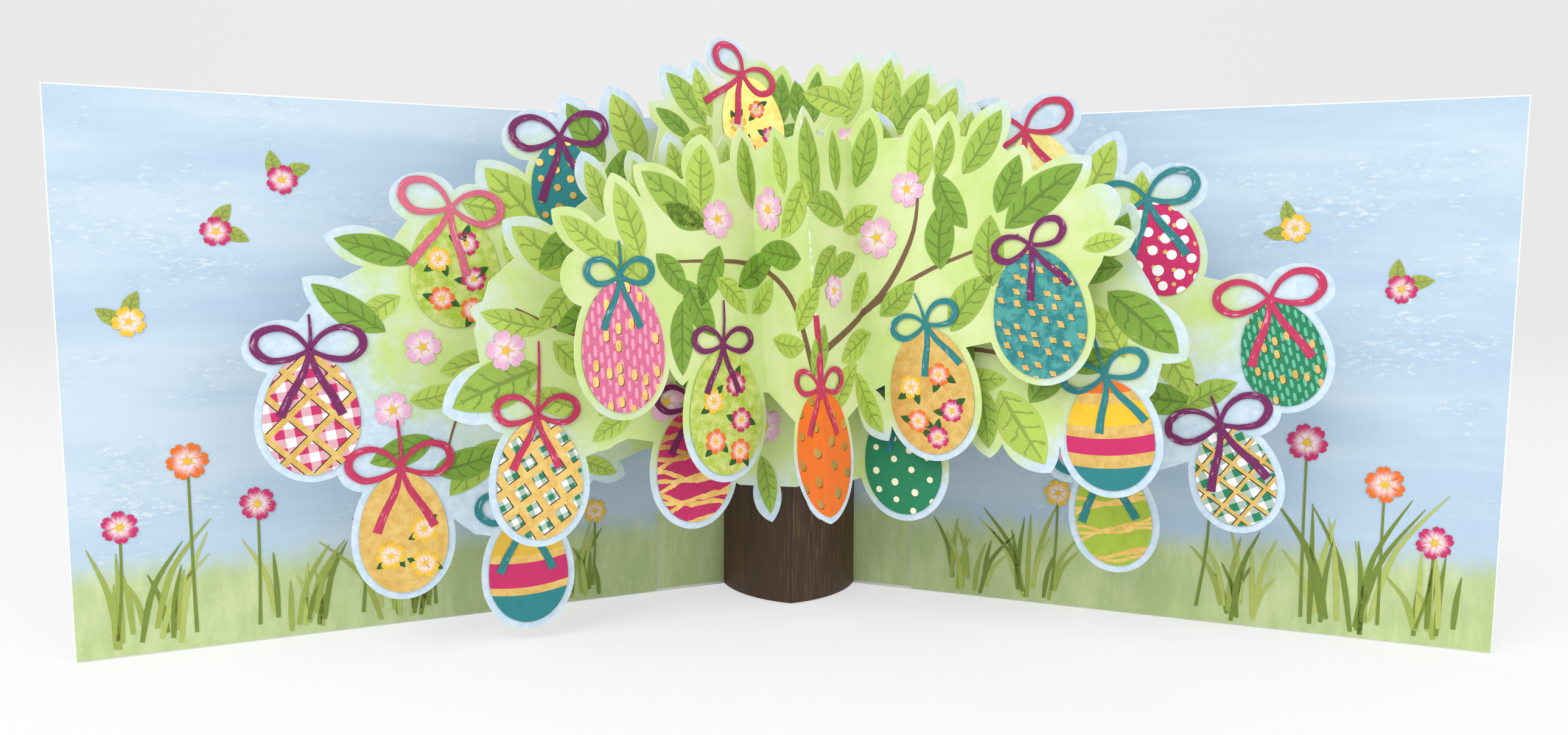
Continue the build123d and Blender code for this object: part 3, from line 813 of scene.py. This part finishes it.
def check_egg(name, ink, angle, size, lattice, band, gold_angle):
    """Woven check with a diagonal lattice of foil."""
    recipe = EggRecipe(name)
    u, v = recipe.rotated(angle)
    rows = (u / size).part() < 0.5
    columns = (v / size).part() < 0.5
    pale = recipe.mix(0.42, ink, paint(0.97, 0.96, 0.96))
    colour = recipe.mix(rows, paint(0.96, 0.95, 0.95), pale)
    colour = recipe.mix(columns, colour, recipe.mix(rows, pale, ink))
    p, q = recipe.rotated(gold_angle)
    line = (abs((p / lattice).part() - 0.5) < band / lattice / 2).most(
        abs((q / lattice).part() - 0.5) < band / lattice / 2)
    shadow = (abs(((p + 0.25) / lattice).part() - 0.5) < band / lattice / 2).most(
        abs(((q - 0.25) / lattice).part() - 0.5) < band / lattice / 2)
    colour = recipe.mix(shadow, colour, paint(0.24, 0.20, 0.14))
    return recipe.stamped(colour, line)


def dash_egg(name, ink, dash, foil_share, slim=1.0):
    """Upright dashes of a paler ink, some of them stamped in foil."""
    recipe = EggRecipe(name)
    px, py, _, _ = recipe.cells(1.55 * slim, 3.4 * slim, 0.5, 0.25)
    mark = recipe.blob(px, py, 0.42 * slim, 1.25 * slim)
    colour = recipe.mix(mark, ink, dash)
    gx, gy, pick, _ = recipe.cells(2.9 * slim, 3.7 * slim, 0.5, 0.55)
    stamp = recipe.blob(gx, gy, 0.72 * slim, 1.25 * slim) * (pick < foil_share)
    under = recipe.blob(gx - 0.18, gy + 0.18, 0.72 * slim, 1.25 * slim) * (pick < foil_share)
    colour = recipe.mix(under, colour, paint(0.28, 0.20, 0.12))
    return recipe.stamped(colour, stamp)


def spot_egg(name, ink, wide, radius, spot=None, small_foil=False):
    """Round spots in an even spread: in foil, or in a second ink with or without small foil ones."""
    recipe = EggRecipe(name)
    px, py, _, other = recipe.cells(wide, wide * 1.12, 0.5, 0.25)
    size = radius * (0.85 + other * 0.3)
    dot = (px * px + py * py).root() < size
    if spot is None:
        ux, uy = px - 0.16, py + 0.16
        under = (ux * ux + uy * uy).root() < size
        return recipe.stamped(recipe.mix(under, ink, paint(0.16, 0.16, 0.12)), dot)
    colour = recipe.mix(dot, ink, spot)
    if not small_foil:
        return recipe.stamped(colour, 0.0)
    small_x, small_y, _, _ = recipe.cells(wide * 0.9, wide, 0.5, 0.4)
    fx, fy = small_x + 0.9, small_y - 0.7
    stamp = (fx * fx + fy * fy).root() < radius * 0.42
    return recipe.stamped(colour, stamp * (1 - dot))


def flake_egg(name, ink):
    """Uneven flakes of foil on ink."""
    recipe = EggRecipe(name)
    px, py, luck, other = recipe.cells(3.1, 3.5, 0.5, 0.75)
    ring = (abs(px) * (0.8 + luck * 0.5)).most(abs(py) * (0.8 + other * 0.5)) + abs(px + py) * 0.3
    flake = ring < 0.82
    under = ((abs(px - 0.15) * (0.8 + luck * 0.5)).most(abs(py + 0.18) * (0.8 + other * 0.5))
             + abs(px + py) * 0.3) < 0.82
    colour = recipe.mix(recipe.ease(recipe.marks, 0.4, 0.6), ink, paint(0.30, 0.62, 0.60))
    colour = recipe.mix(under, colour, paint(0.10, 0.22, 0.20))
    return recipe.stamped(colour, flake)


def stripe_egg(name, stops, foil_stops, height):
    """Broad bands across the egg, a little curved; the narrow ones are foil."""
    recipe = EggRecipe(name)
    level = (recipe.y - recipe.x * recipe.x * 0.012) / height + 0.5
    colour = recipe.node("ShaderNodeValToRGB", {"steps": "CONSTANT", "stops": stops}, {0: level})
    foil = recipe.node("ShaderNodeValToRGB", {"steps": "CONSTANT", "stops": foil_stops}, {0: level})
    return recipe.stamped(colour, recipe.axes(foil)[0])


def string_egg(name, ink, spacing, band, tilt):
    """Loose threads of foil wound round the egg."""
    recipe = EggRecipe(name)
    lines = None
    for turn, phase, sway in ((tilt, 0.0, 1.0), (-tilt * 0.8, 1.7, 1.4), (tilt * 0.2, 3.1, 0.8)):
        u, v = recipe.rotated(turn)
        wave = (u * 0.42 + phase).wave() * sway * 0.5 + (recipe.marks - 0.5) * 1.2
        thread = abs(((v + wave) / (spacing * (1 + 0.2 * sway))).part() - 0.5) < band / spacing / 2
        lines = thread if lines is None else lines.most(thread)
    deep = recipe.mix(0.2, ink, paint(0.2, 0.05, 0.1))
    colour = recipe.mix(recipe.ease(recipe.marks, 0.35, 0.7), ink, deep)
    return recipe.stamped(colour, lines)


def plain_egg(name, ink, foil):
    """One ink, or foil all over, as the ground for printed flowers."""
    recipe = EggRecipe(name)
    pale = recipe.mix(0.35, ink, paint(0.97, 0.95, 0.75))
    colour = recipe.mix(recipe.ease(recipe.marks, 0.35, 0.65), ink, pale)
    worn = recipe.ease(recipe.noise(recipe.place(), 0.9, 4.0, 0.7), 0.30, 0.34)
    return recipe.stamped(colour, worn * foil)


def egg_patterns():
    """Every egg's material, by the name of its pattern."""
    c = COLOURS
    off, on = (0.0, 0.0, 0.0), (1.0, 1.0, 1.0)
    return {
        "magenta_check": check_egg("magenta check", c["magenta"], 8, 4.0, 6.4, 1.3, 45),
        "green_check": check_egg("green check", c["green"], 8, 3.6, 4.4, 0.8, 38),
        "green_lattice": check_egg("green lattice", c["green"], 20, 2.6, 4.6, 1.7, 30),
        "gold_daisies": plain_egg("gold daisies", c["yellow"], 1.0),
        "gold_flowers": plain_egg("gold flowers", c["yellow"], 1.0),
        "lime_flowers": plain_egg("lime flowers", c["lime"], 0.0),
        "yellow_wash": plain_egg("yellow wash", paint(0.93, 0.87, 0.50), 0.0),
        "teal_stripes": stripe_egg(
            "teal stripes",
            [(0.0, c["teal"]), (0.26, c["yellow"]), (0.33, c["magenta"]), (0.56, c["yellow"]),
             (0.63, paint(0.86, 0.70, 0.24)), (0.9, c["lime"])],
            [(0.0, off), (0.26, on), (0.33, off), (0.56, on), (0.63, off)], 25.5),
        "bright_stripes": stripe_egg(
            "bright stripes",
            [(0.0, c["teal"]), (0.20, c["yellow"]), (0.32, c["magenta"]), (0.47, c["yellow"]),
             (0.58, c["yellow"]), (0.78, c["yellow"]), (0.88, c["orange"])],
            [(0.0, off), (0.20, on), (0.32, off), (0.47, on), (0.58, off), (0.78, on), (0.88, off)],
            24.0),
        "teal_spots": spot_egg("teal spots", c["teal"], 3.6, 0.85),
        "magenta_spots": spot_egg("magenta spots", c["magenta"], 3.8, 1.15, c["white"], small_foil=True),
        "green_spots": spot_egg("green spots", c["green"], 4.4, 0.8, c["cream"]),
        "orange_spots": spot_egg("orange spots", c["orange"], 5.2, 1.15),
        "green_dashes": dash_egg("green dashes", c["green"], paint(0.42, 0.72, 0.62), 0.42, 0.8),
        "pink_dashes": dash_egg("pink dashes", paint(0.84, 0.42, 0.58), paint(0.93, 0.62, 0.72), 0.5),
        "teal_flakes": flake_egg("teal flakes", c["teal"]),
        "magenta_strings": string_egg("magenta strings", c["magenta"], 4.4, 0.85, 14),
        "lime_strings": string_egg("lime strings", c["lime"], 5.2, 0.6, 10),
    }


# ---------------------------------------------------------------- laying out the print

def add_leaves(layer_print, card, rows, seed, tones):
    """The leaves along the cut edge, inside a plain border."""
    luck = random.Random(seed)
    for tip_x, tip_y, base_x, base_y, fullness in rows:
        length = hypot(tip_x - base_x, tip_y - base_y)
        cut = card.rim * 1.35
        k = 1 - cut / length
        tip = (base_x + (tip_x - base_x) * k, base_y + (tip_y - base_y) * k)
        base = (base_x + (base_x - tip_x) * 0.18, base_y + (base_y - tip_y) * 0.18)
        half = max(fullness * length / 2 - card.rim * 0.25, 1.2)
        layer_print.leaf(tip, base, half, luck.choice(tones), 1, luck.uniform(-0.04, 0.04), 0)


def scatter(layer_print, area, eggs, seed, tones, spacing, blossoms=0.2):
    """Leaves and blossoms in a loose, even spread over an area, clear of the eggs."""
    luck = random.Random(seed)
    low_x, high_x = min(p[0] for p in area), max(p[0] for p in area)
    low_y, high_y = min(p[1] for p in area), max(p[1] for p in area)
    row = 0
    y = low_y
    while y < high_y:
        x = low_x + (row % 2) * spacing / 2
        while x < high_x:
            spot = (x + luck.uniform(-0.25, 0.25) * spacing, y + luck.uniform(-0.25, 0.25) * spacing)
            turn, size, kind = luck.uniform(0, 2 * pi), luck.uniform(0.85, 1.2), luck.random()
            tone = luck.choice(tones)
            if inside(spot, area) and clear_of_eggs(spot, eggs):
                if kind < blossoms:
                    blossom(layer_print, spot, 4.2 * size, turn, COLOURS["blossom"], 3)
                else:
                    reach = 6.6 * size
                    tip = (spot[0] + reach * cos(turn), spot[1] + reach * sin(turn))
                    base = (spot[0] - reach * cos(turn), spot[1] - reach * sin(turn))
                    layer_print.leaf(tip, base, 3.0 * size, tone, 1, luck.uniform(-0.08, 0.08), 0)
            x += spacing
        y += spacing * 0.86
        row += 1


def clear_of_eggs(spot, eggs):
    for across, up, width, height, *_ in eggs:
        if hypot((spot[0] - across) / (width / 2 + 4), (spot[1] - up) / (height / 2 + 4)) < 1:
            return False
    return True


def blossom(layer_print, heart, radius, turn, colour, layer, petals=5):
    """An open flower of rounded petals with a yellow heart and stamens."""
    for i in range(petals):
        angle = turn + 2 * pi * i / petals
        layer_print.petal(heart, angle, radius, radius * 2.1 / petals, colour, layer + 0.15 * i, 1)
    for i in range(petals):
        angle = turn + 2 * pi * (i + 0.5) / petals
        tip = (heart[0] + radius * 0.42 * cos(angle), heart[1] + radius * 0.42 * sin(angle))
        layer_print.stroke([heart, tip], (0.18, 0.3), COLOURS["yellow"], layer + 1.0, 2)
    layer_print.disc(heart, radius * 0.17, COLOURS["yellow"], layer + 1.3, 2)


def bow(layer_print, row, layer):
    """A ribbon bow on an egg's top, with its string and two tails."""
    turn, size, string, colour = row[5], row[6], row[7], COLOURS[row[9]]
    knot = knot_of(row)
    scale = 1.0 if size > 1 else 0.9 if size > 0.82 else 0.85
    body = 1.5 * scale

    def spot(x, y):
        return turned(knot, (x, y), turn)

    if string:
        layer_print.stroke([spot(0, 0), spot(0.3, string * 0.5), spot(0.1, string)],
                           (0.9 * scale, 0.7 * scale, 0.5 * scale), colour, layer, 3)
    for side in (-1, 1):
        drop = 12.6 * max(size, 0.85)
        tail = [spot(0, 0), spot(side * 1.4 * size, -drop * 0.35), spot(side * 4.0 * size, -drop * 0.72),
                spot(side * 5.6 * size, -drop)]
        layer_print.stroke(tail, (body * 0.6, body, body * 1.15, body * 1.3), colour, layer + 0.2, 3)
    for side in (-1, 1):
        loop = [(0, 0), (2.3, 2.9), (5.6, 4.3), (9.0, 3.2), (9.7, 0.4), (7.2, -1.9), (3.4, -1.6), (0, 0)]
        route = [spot(side * x * size, (y + 0.35) * size) for x, y in loop]
        layer_print.stroke(route, [body * share for share in (0.55, 0.8, 1.1, 1.2, 0.9, 0.55)],
                           colour, layer + 0.5 + side * 0.1, 3, 6)
    layer_print.disc(knot, body * 0.72, colour, layer + 1.0, 3, 14)


def egg_flowers(layer_print, row, pattern, seed):
    """Small open flowers and leaf pairs on an egg's plain ground."""
    across, up, width, _, turn = row[:5]
    luck = random.Random(seed)
    sets = {
        "gold_daisies": (("yellow", 7, 3.4), [(-3.2, -5.2), (4.4, -8.0), (4.6, 0.4)]),
        "gold_flowers": (("orange", 5, 2.7), [
            (-3.6, -6.6), (4.6, -4.4), (-4.8, 1.2), (2.2, 3.8), (0.8, -10.4)]),
        "lime_flowers": (("orange", 6, 2.9), [
            (-3.4, -6.2), (4.0, -2.2), (-3.4, 2.8), (3.2, -9.2), (3.0, 6.0)]),
    }
    (ink, petals, radius), spots = sets[pattern]
    inks = [ink, "magenta", "yellow"] if pattern != "gold_daisies" else [ink]
    k = width / 20
    for i, (x, y) in enumerate(spots):
        heart = turned((across, up), (x * k, y * k), turn)
        for side in (-1, 1):
            angle = luck.uniform(0, pi) + side * 1.2
            tip = (heart[0] + 4.4 * k * cos(angle), heart[1] + 4.4 * k * sin(angle))
            layer_print.leaf(tip, heart, 0.95 * k, paint(0.16, 0.36, 0.16), 6.2, 0.06, 0)
        colour = COLOURS[inks[i % len(inks)]]
        blossom(layer_print, heart, radius * k, luck.uniform(0, pi), colour, 6.6, petals)


def branch(layer_print, route, widths, layer=0.4):
    layer_print.stroke(route, widths, COLOURS["branch"], layer, 2)


# ---------------------------------------------------------------- settings

class CardSettings(bpy.types.PropertyGroup):
    """Sizes and colours of the card's print."""
    rim: bpy.props.FloatProperty(
        name="Rim", description="Plain border between the print and a cut edge, in millimetres",
        default=1.6, min=0.5, max=4.0)
    sky: bpy.props.FloatVectorProperty(
        name="Sky", description="Sky on the pages", subtype="COLOR", size=3,
        default=paint(0.70, 0.79, 0.87), min=0, max=1)
    grass: bpy.props.FloatVectorProperty(
        name="Grass", description="Grass band on the pages", subtype="COLOR", size=3,
        default=paint(0.70, 0.77, 0.54), min=0, max=1)
    wash: bpy.props.FloatVectorProperty(
        name="Wash", description="Lime wash in the middle of each canopy", subtype="COLOR", size=3,
        default=paint(0.77, 0.86, 0.52), min=0, max=1)
    halo: bpy.props.FloatVectorProperty(
        name="Halo", description="Pale blue along the cut edges", subtype="COLOR", size=3,
        default=paint(0.75, 0.84, 0.91), min=0, max=1)
    bark: bpy.props.FloatVectorProperty(
        name="Bark", description="Bark of the trunk", subtype="COLOR", size=3,
        default=paint(0.30, 0.20, 0.12), min=0, max=1)
    leaf_light: bpy.props.FloatVectorProperty(
        name="Light Leaf", description="The lighter leaves", subtype="COLOR", size=3,
        default=paint(0.68, 0.78, 0.34), min=0, max=1)
    leaf_dark: bpy.props.FloatVectorProperty(
        name="Dark Leaf", description="The darker leaves", subtype="COLOR", size=3,
        default=paint(0.47, 0.62, 0.22), min=0, max=1)


def tones_of(card):
    light, dark = tuple(card.leaf_light), tuple(card.leaf_dark)
    between = tuple((a + b) / 2 for a, b in zip(light, dark))
    return [light, light, between, dark]


def dress(node, *materials):
    mesh = NODES[node].data
    mesh.materials.clear()
    for material in materials:
        mesh.materials.append(material)


# ---------------------------------------------------------------- operators

class CARD_OT_paper(bpy.types.Operator):
    """Give the cover, the struts and the pages their paper and their print of sky and grass"""
    bl_idname = "card.paper"
    bl_label = "Paper and Pages"

    def execute(self, context):
        card = context.scene.card
        dress("cover", paper_white("cover card", paint(0.90, 0.90, 0.885)))
        strut = paper_white("strut paper", paint(0.91, 0.91, 0.89))
        for node in NODES:
            if node.endswith("_strut"):
                dress(node, strut)
        dress("left_page", sky_print("left sky", card, 20.0, 0.0))
        dress("right_page", sky_print("right sky", card, 21.0, 140.0))
        dress("centre_strip", sky_print("strip sky", card, 24.0, 300.0))
        return {"FINISHED"}


class CARD_OT_trunk(bpy.types.Operator):
    """Give the trunk its bark"""
    bl_idname = "card.trunk"
    bl_label = "Trunk Bark"

    def execute(self, context):
        dress("trunk", bark_print("bark", context.scene.card))
        return {"FINISHED"}


class CARD_OT_canopies(bpy.types.Operator):
    """Give the canopy sheets their wash of lime on pale blue"""
    bl_idname = "card.canopies"
    bl_label = "Canopy Washes"

    def execute(self, context):
        card = context.scene.card
        dress("back_canopy", canopy_wash("back wash", card, (0, 80), (104, 48), (0, 0, 0), 0.0))
        dress("crown", canopy_wash("crown wash", card, (2, 112), (48, 30), (0, 0, 0), 60.0))
        dress("middle_canopy", canopy_wash("middle wash", card, (2, 78), (78, 46), (0, 0.07, 0), 120.0))
        dress("front_canopy", canopy_wash("front wash", card, (3, 88), (72, 44), (3.6, 0.0803, 1), 200.0))
        return {"FINISHED"}


class CARD_OT_foliage(bpy.types.Operator):
    """Print leaves, branches and blossoms on the canopy sheets"""
    bl_idname = "card.foliage"
    bl_label = "Leaves and Blossoms"

    def execute(self, context):
        card = context.scene.card
        tones = tones_of(card)
        inks = [leaf_ink("leaf paint"), petal_ink("petal paint"), brushed_ink("brush paint")]
        jobs = {
            "back": (BACK_LEAVES, BACK_AREA, BACK_EGGS, 11, 12.5, [
                ([(-10, 70), (-40, 74), (-66, 70), (-92, 58)], (1.6, 1.2, 0.9, 0.4)),
                ([(-62, 71), (-80, 60), (-86, 46)], (0.9, 0.7, 0.4)),
                ([(14, 76), (50, 78), (80, 72), (98, 62)], (1.4, 1.1, 0.8, 0.4)),
            ]),
            "crown": (CROWN_LEAVES, CROWN_AREA, CROWN_EGGS, 12, 11.0, []),
            "middle": (MIDDLE_LEAVES, MIDDLE_AREA, MIDDLE_EGGS, 13, 12.0, [
                ([(-6, 60), (-28, 72), (-52, 76), (-68, 84)], (1.6, 1.2, 0.9, 0.4)),
                ([(10, 60), (36, 68), (60, 66), (76, 74)], (1.4, 1.1, 0.8, 0.4)),
            ]),
            "front": (FRONT_LEAVES, FRONT_AREA, FRONT_EGGS, 14, 12.0, [
                ([(-2, 66), (-8, 82), (-22, 90), (-46, 92)], (1.7, 1.5, 1.1, 0.4)),
                ([(2, 70), (22, 78), (33, 92), (36, 104)], (1.7, 1.5, 1.1, 0.4)),
                ([(22, 78), (38, 86), (58, 92)], (1.2, 0.9, 0.4)),
            ]),
        }
        for name, (leaves, area, eggs, seed, spacing, branches) in jobs.items():
            sheet = Print(name)
            for route, widths in branches:
                branch(sheet, route, widths)
            scatter(sheet, area, eggs, seed, tones, spacing)
            add_leaves(sheet, card, leaves, seed, tones)
            sheet.finish(name + "_foliage", inks)
        return {"FINISHED"}


class CARD_OT_eggs(bpy.types.Operator):
    """Print the decorated eggs and their bows"""
    bl_idname = "card.eggs"
    bl_label = "Eggs and Bows"

    def execute(self, context):
        patterns = egg_patterns()
        inks = [leaf_ink("sprig paint"), petal_ink("flower paint"), brushed_ink("stamen paint"),
                ribbon_ink("ribbon paint")]
        order = sorted(patterns)
        for name, eggs in (("back", BACK_EGGS), ("crown", CROWN_EGGS), ("middle", MIDDLE_EGGS),
                           ("front", FRONT_EGGS)):
            sheet, trim = Print(name), Print(name)
            for number, row in enumerate(eggs):
                pattern = row[8]
                sheet.egg(*row[:5], (1, 1, 1), 5.4, order.index(pattern))
                if pattern in ("gold_daisies", "gold_flowers", "lime_flowers"):
                    egg_flowers(trim, row, pattern, number)
                bow(trim, row, 9.0)
            sheet.finish(name + "_eggs", [patterns[key] for key in order])
            trim.finish(name + "_bows", inks)
        return {"FINISHED"}


class CARD_OT_meadow(bpy.types.Operator):
    """Print grass, meadow flowers and drifting sprigs on the pages"""
    bl_idname = "card.meadow"
    bl_label = "Meadow on the Pages"

    def execute(self, context):
        luck = random.Random(21)
        sheet = Print("pages")
        blades = [COLOURS["blade"], COLOURS["blade_dark"], paint(0.68, 0.73, 0.38)]
        tufts = [(-160, 26, 1.0), (-128, 20, 0.85), (-104, 30, 1.0), (-60, 18, 0.7), (52, 17, 0.7),
                 (70, 24, 0.8), (118, 22, 0.8), (142, 32, 1.0), (164, 24, 0.9)]
        for across, reach, size in tufts:
            for _ in range(int(15 * size)):
                foot = across + luck.uniform(-7, 7) * size
                lean = luck.uniform(-0.55, 0.55) + (foot - across) * 0.05
                tall = reach * luck.uniform(0.45, 1.0)
                up = luck.uniform(1.0, 6.0)
                middle = (foot + lean * tall * 0.25, up + tall * 0.55)
                route = [(foot, up), middle, (foot + lean * tall * 0.8, up + tall)]
                if abs(route[-1][0]) < 172 and abs(foot) < 172:
                    sheet.stroke(route, (0.9, 1.3, 0.9, 0.15), luck.choice(blades), 1, 2)
        flowers = [(-150, 44, "orange", 4.4), (-136, 33, "magenta", 4.0), (-112, 38, "magenta", 4.6),
                   (-97, 22, "orange", 4.0), (-164, 30, "magenta", 3.8), (112, 36, "orange", 4.2),
                   (133, 47, "magenta", 4.6), (150, 38, "orange", 4.4), (161, 25, "magenta", 4.0),
                   (75, 30, "yellow", 3.6), (-56, 24, "yellow", 3.2)]
        for across, up, ink, radius in flowers:
            bend = luck.uniform(-3, 3)
            sheet.stroke([(across + bend, 4), (across + bend * 0.2, up * 0.55), (across, up)],
                         (0.8, 0.6, 0.5), COLOURS["blade_dark"], 1.4, 2)
            blossom(sheet, (across, up), radius, luck.uniform(0, 1), COLOURS[ink], 3, 6)
        for across, up, ink, turn in ((-142, 96, "magenta", 0.4), (-160, 76, "yellow", 2.0),
                                      (128, 98, "yellow", 2.6), (151, 84, "magenta", 1.0),
                                      (-128, 108, "magenta", 1.2)):
            for side in (-1, 1):
                angle = turn + side * 0.7
                tip = (across + 7 * cos(angle), up + 7 * sin(angle))
                sheet.leaf(tip, (across, up), 1.7, COLOURS["blade"], 1, 0.08, 0)
            blossom(sheet, (across, up), 3.4, turn, COLOURS[ink], 3)
        inks = [leaf_ink("meadow leaf"), petal_ink("meadow petal"), brushed_ink("meadow blade")]
        sheet.finish("meadow", inks, "page_paper")
        return {"FINISHED"}


class CARD_OT_studio(bpy.types.Operator):
    """Set up the pale floor, the soft lamps and the camera"""
    bl_idname = "card.studio"
    bl_label = "Studio"

    def execute(self, context):
        scene = context.scene
        scene.view_settings.view_transform = "Standard"
        world = bpy.data.worlds.new("studio")
        scene.world = world
        world.use_nodes = True
        tree = world.node_tree
        tree.nodes.clear()
        light_path = tree.nodes.new("ShaderNodeLightPath")
        seen = tree.nodes.new("ShaderNodeMath")
        seen.operation = "MAXIMUM"
        tree.links.new(light_path.outputs["Is Camera Ray"], seen.inputs[0])
        tree.links.new(light_path.outputs["Is Transmission Ray"], seen.inputs[1])
        glossy = tree.nodes.new("ShaderNodeMath")
        glossy.operation = "MAXIMUM"
        tree.links.new(seen.outputs[0], glossy.inputs[0])
        tree.links.new(light_path.outputs["Is Glossy Ray"], glossy.inputs[1])
        level = tree.nodes.new("ShaderNodeMapRange")
        level.inputs["To Min"].default_value = 0.62
        level.inputs["To Max"].default_value = 1.0
        tree.links.new(glossy.outputs[0], level.inputs["Value"])
        background = tree.nodes.new("ShaderNodeBackground")
        tree.links.new(level.outputs[0], background.inputs["Strength"])
        background.inputs["Color"].default_value = (1, 1, 1, 1)
        output = tree.nodes.new("ShaderNodeOutputWorld")
        tree.links.new(background.outputs[0], output.inputs[0])
        self.floor()
        self.lamp("key lamp", (-0.55, -0.75, 0.85), 0.9, 9.0)
        self.lamp("fill lamp", (0.75, -0.65, 0.55), 0.9, 4.0)
        self.camera(scene)
        return {"FINISHED"}

    @staticmethod
    def floor():
        """A floor that runs up into a backdrop in one smooth sweep."""
        mesh = bpy.data.meshes.new("floor")
        profile = [(-3.0, 0.0), (1.2, 0.0)]
        for i in range(1, 13):
            angle = pi / 2 * i / 12
            profile.append((1.2 + 0.8 * sin(angle), 0.8 - 0.8 * cos(angle)))
        profile.append((2.0, 3.0))
        verts = [(x, y, z - 0.00005) for y, z in profile for x in (-4.0, 4.0)]
        faces = [(2 * i, 2 * i + 1, 2 * i + 3, 2 * i + 2) for i in range(len(profile) - 1)]
        mesh.from_pydata(verts, [], faces)
        mesh.polygons.foreach_set("use_smooth", [True] * len(faces))
        floor = bpy.data.objects.new("floor", mesh)
        bpy.context.scene.collection.objects.link(floor)
        recipe = Recipe("studio floor")
        recipe.feed(recipe.shader.inputs["Base Color"], (0.86, 0.86, 0.86))
        recipe.feed(recipe.shader.inputs["Roughness"], 0.9)
        recipe.feed(recipe.shader.inputs["Specular IOR Level"], 0.1)
        light_path = recipe.tree.nodes.new("ShaderNodeLightPath")
        seen = Wire(recipe, light_path.outputs["Is Camera Ray"])
        seen = seen.most(Wire(recipe, light_path.outputs["Is Glossy Ray"]))
        seen = seen.most(Wire(recipe, light_path.outputs["Is Transmission Ray"]))
        glow = recipe.tree.nodes.new("ShaderNodeEmission")
        glow.inputs["Strength"].default_value = 1.0
        both = recipe.tree.nodes.new("ShaderNodeMixShader")
        recipe.feed(both.inputs[0], seen * 0.55)
        recipe.tree.links.new(recipe.shader.outputs[0], both.inputs[1])
        recipe.tree.links.new(glow.outputs[0], both.inputs[2])
        recipe.tree.links.new(both.outputs[0], recipe.output.inputs[0])
        mesh.materials.append(recipe.material)

    @staticmethod
    def lamp(name, place, size, power):
        data = bpy.data.lights.new(name, "AREA")
        data.shape = "SQUARE"
        data.size = size
        data.energy = power
        lamp = bpy.data.objects.new(name, data)
        bpy.context.scene.collection.objects.link(lamp)
        lamp.location = place
        aim = Vector((0, -0.03, 0.06)) - Vector(place)
        lamp.rotation_euler = aim.to_track_quat("-Z", "Y").to_euler()

    @staticmethod
    def camera(scene):
        data = bpy.data.cameras.new("camera")
        data.lens = 25.245
        data.sensor_width = 36.0
        data.clip_start = 0.01
        camera = bpy.data.objects.new("camera", data)
        scene.collection.objects.link(camera)
        yaw, pitch, roll = 0.0300, -0.1006, 0.0041
        ahead = Vector((sin(yaw) * cos(pitch), cos(yaw) * cos(pitch), sin(pitch)))
        level = Vector((cos(yaw), -sin(yaw), 0))
        above = level.cross(ahead)
        right = level * cos(roll) + above * sin(roll)
        above = right.cross(ahead)
        turn = Matrix((right, above, -ahead)).transposed()
        camera.matrix_world = Matrix.Translation((-0.01054, -0.30772, 0.09092)) @ turn.to_4x4()
        scene.camera = camera


class CARD_PT_panel(bpy.types.Panel):
    """Steps that dress the card, in order"""
    bl_idname = "CARD_PT_panel"
    bl_label = "Pop-up Card"
    bl_space_type = "VIEW_3D"
    bl_region_type = "UI"
    bl_category = "Card"

    def draw(self, context):
        card = context.scene.card
        for key in ("rim", "sky", "grass", "wash", "halo", "bark", "leaf_light", "leaf_dark"):
            self.layout.prop(card, key)
        for step in STEPS:
            self.layout.operator(step.bl_idname)


STEPS = (CARD_OT_paper, CARD_OT_trunk, CARD_OT_canopies, CARD_OT_foliage, CARD_OT_eggs,
         CARD_OT_meadow, CARD_OT_studio)
CLASSES = (CardSettings, *STEPS, CARD_PT_panel)


def register():
    for item in CLASSES:
        bpy.utils.register_class(item)
    bpy.types.Scene.card = bpy.props.PointerProperty(type=CardSettings)


def unregister():
    del bpy.types.Scene.card
    for item in reversed(CLASSES):
        bpy.utils.unregister_class(item)


def main():
    register()
    for step in STEPS:
        getattr(bpy.ops.card, step.bl_idname.split(".")[1])()


if __name__ == "__main__":
    main()
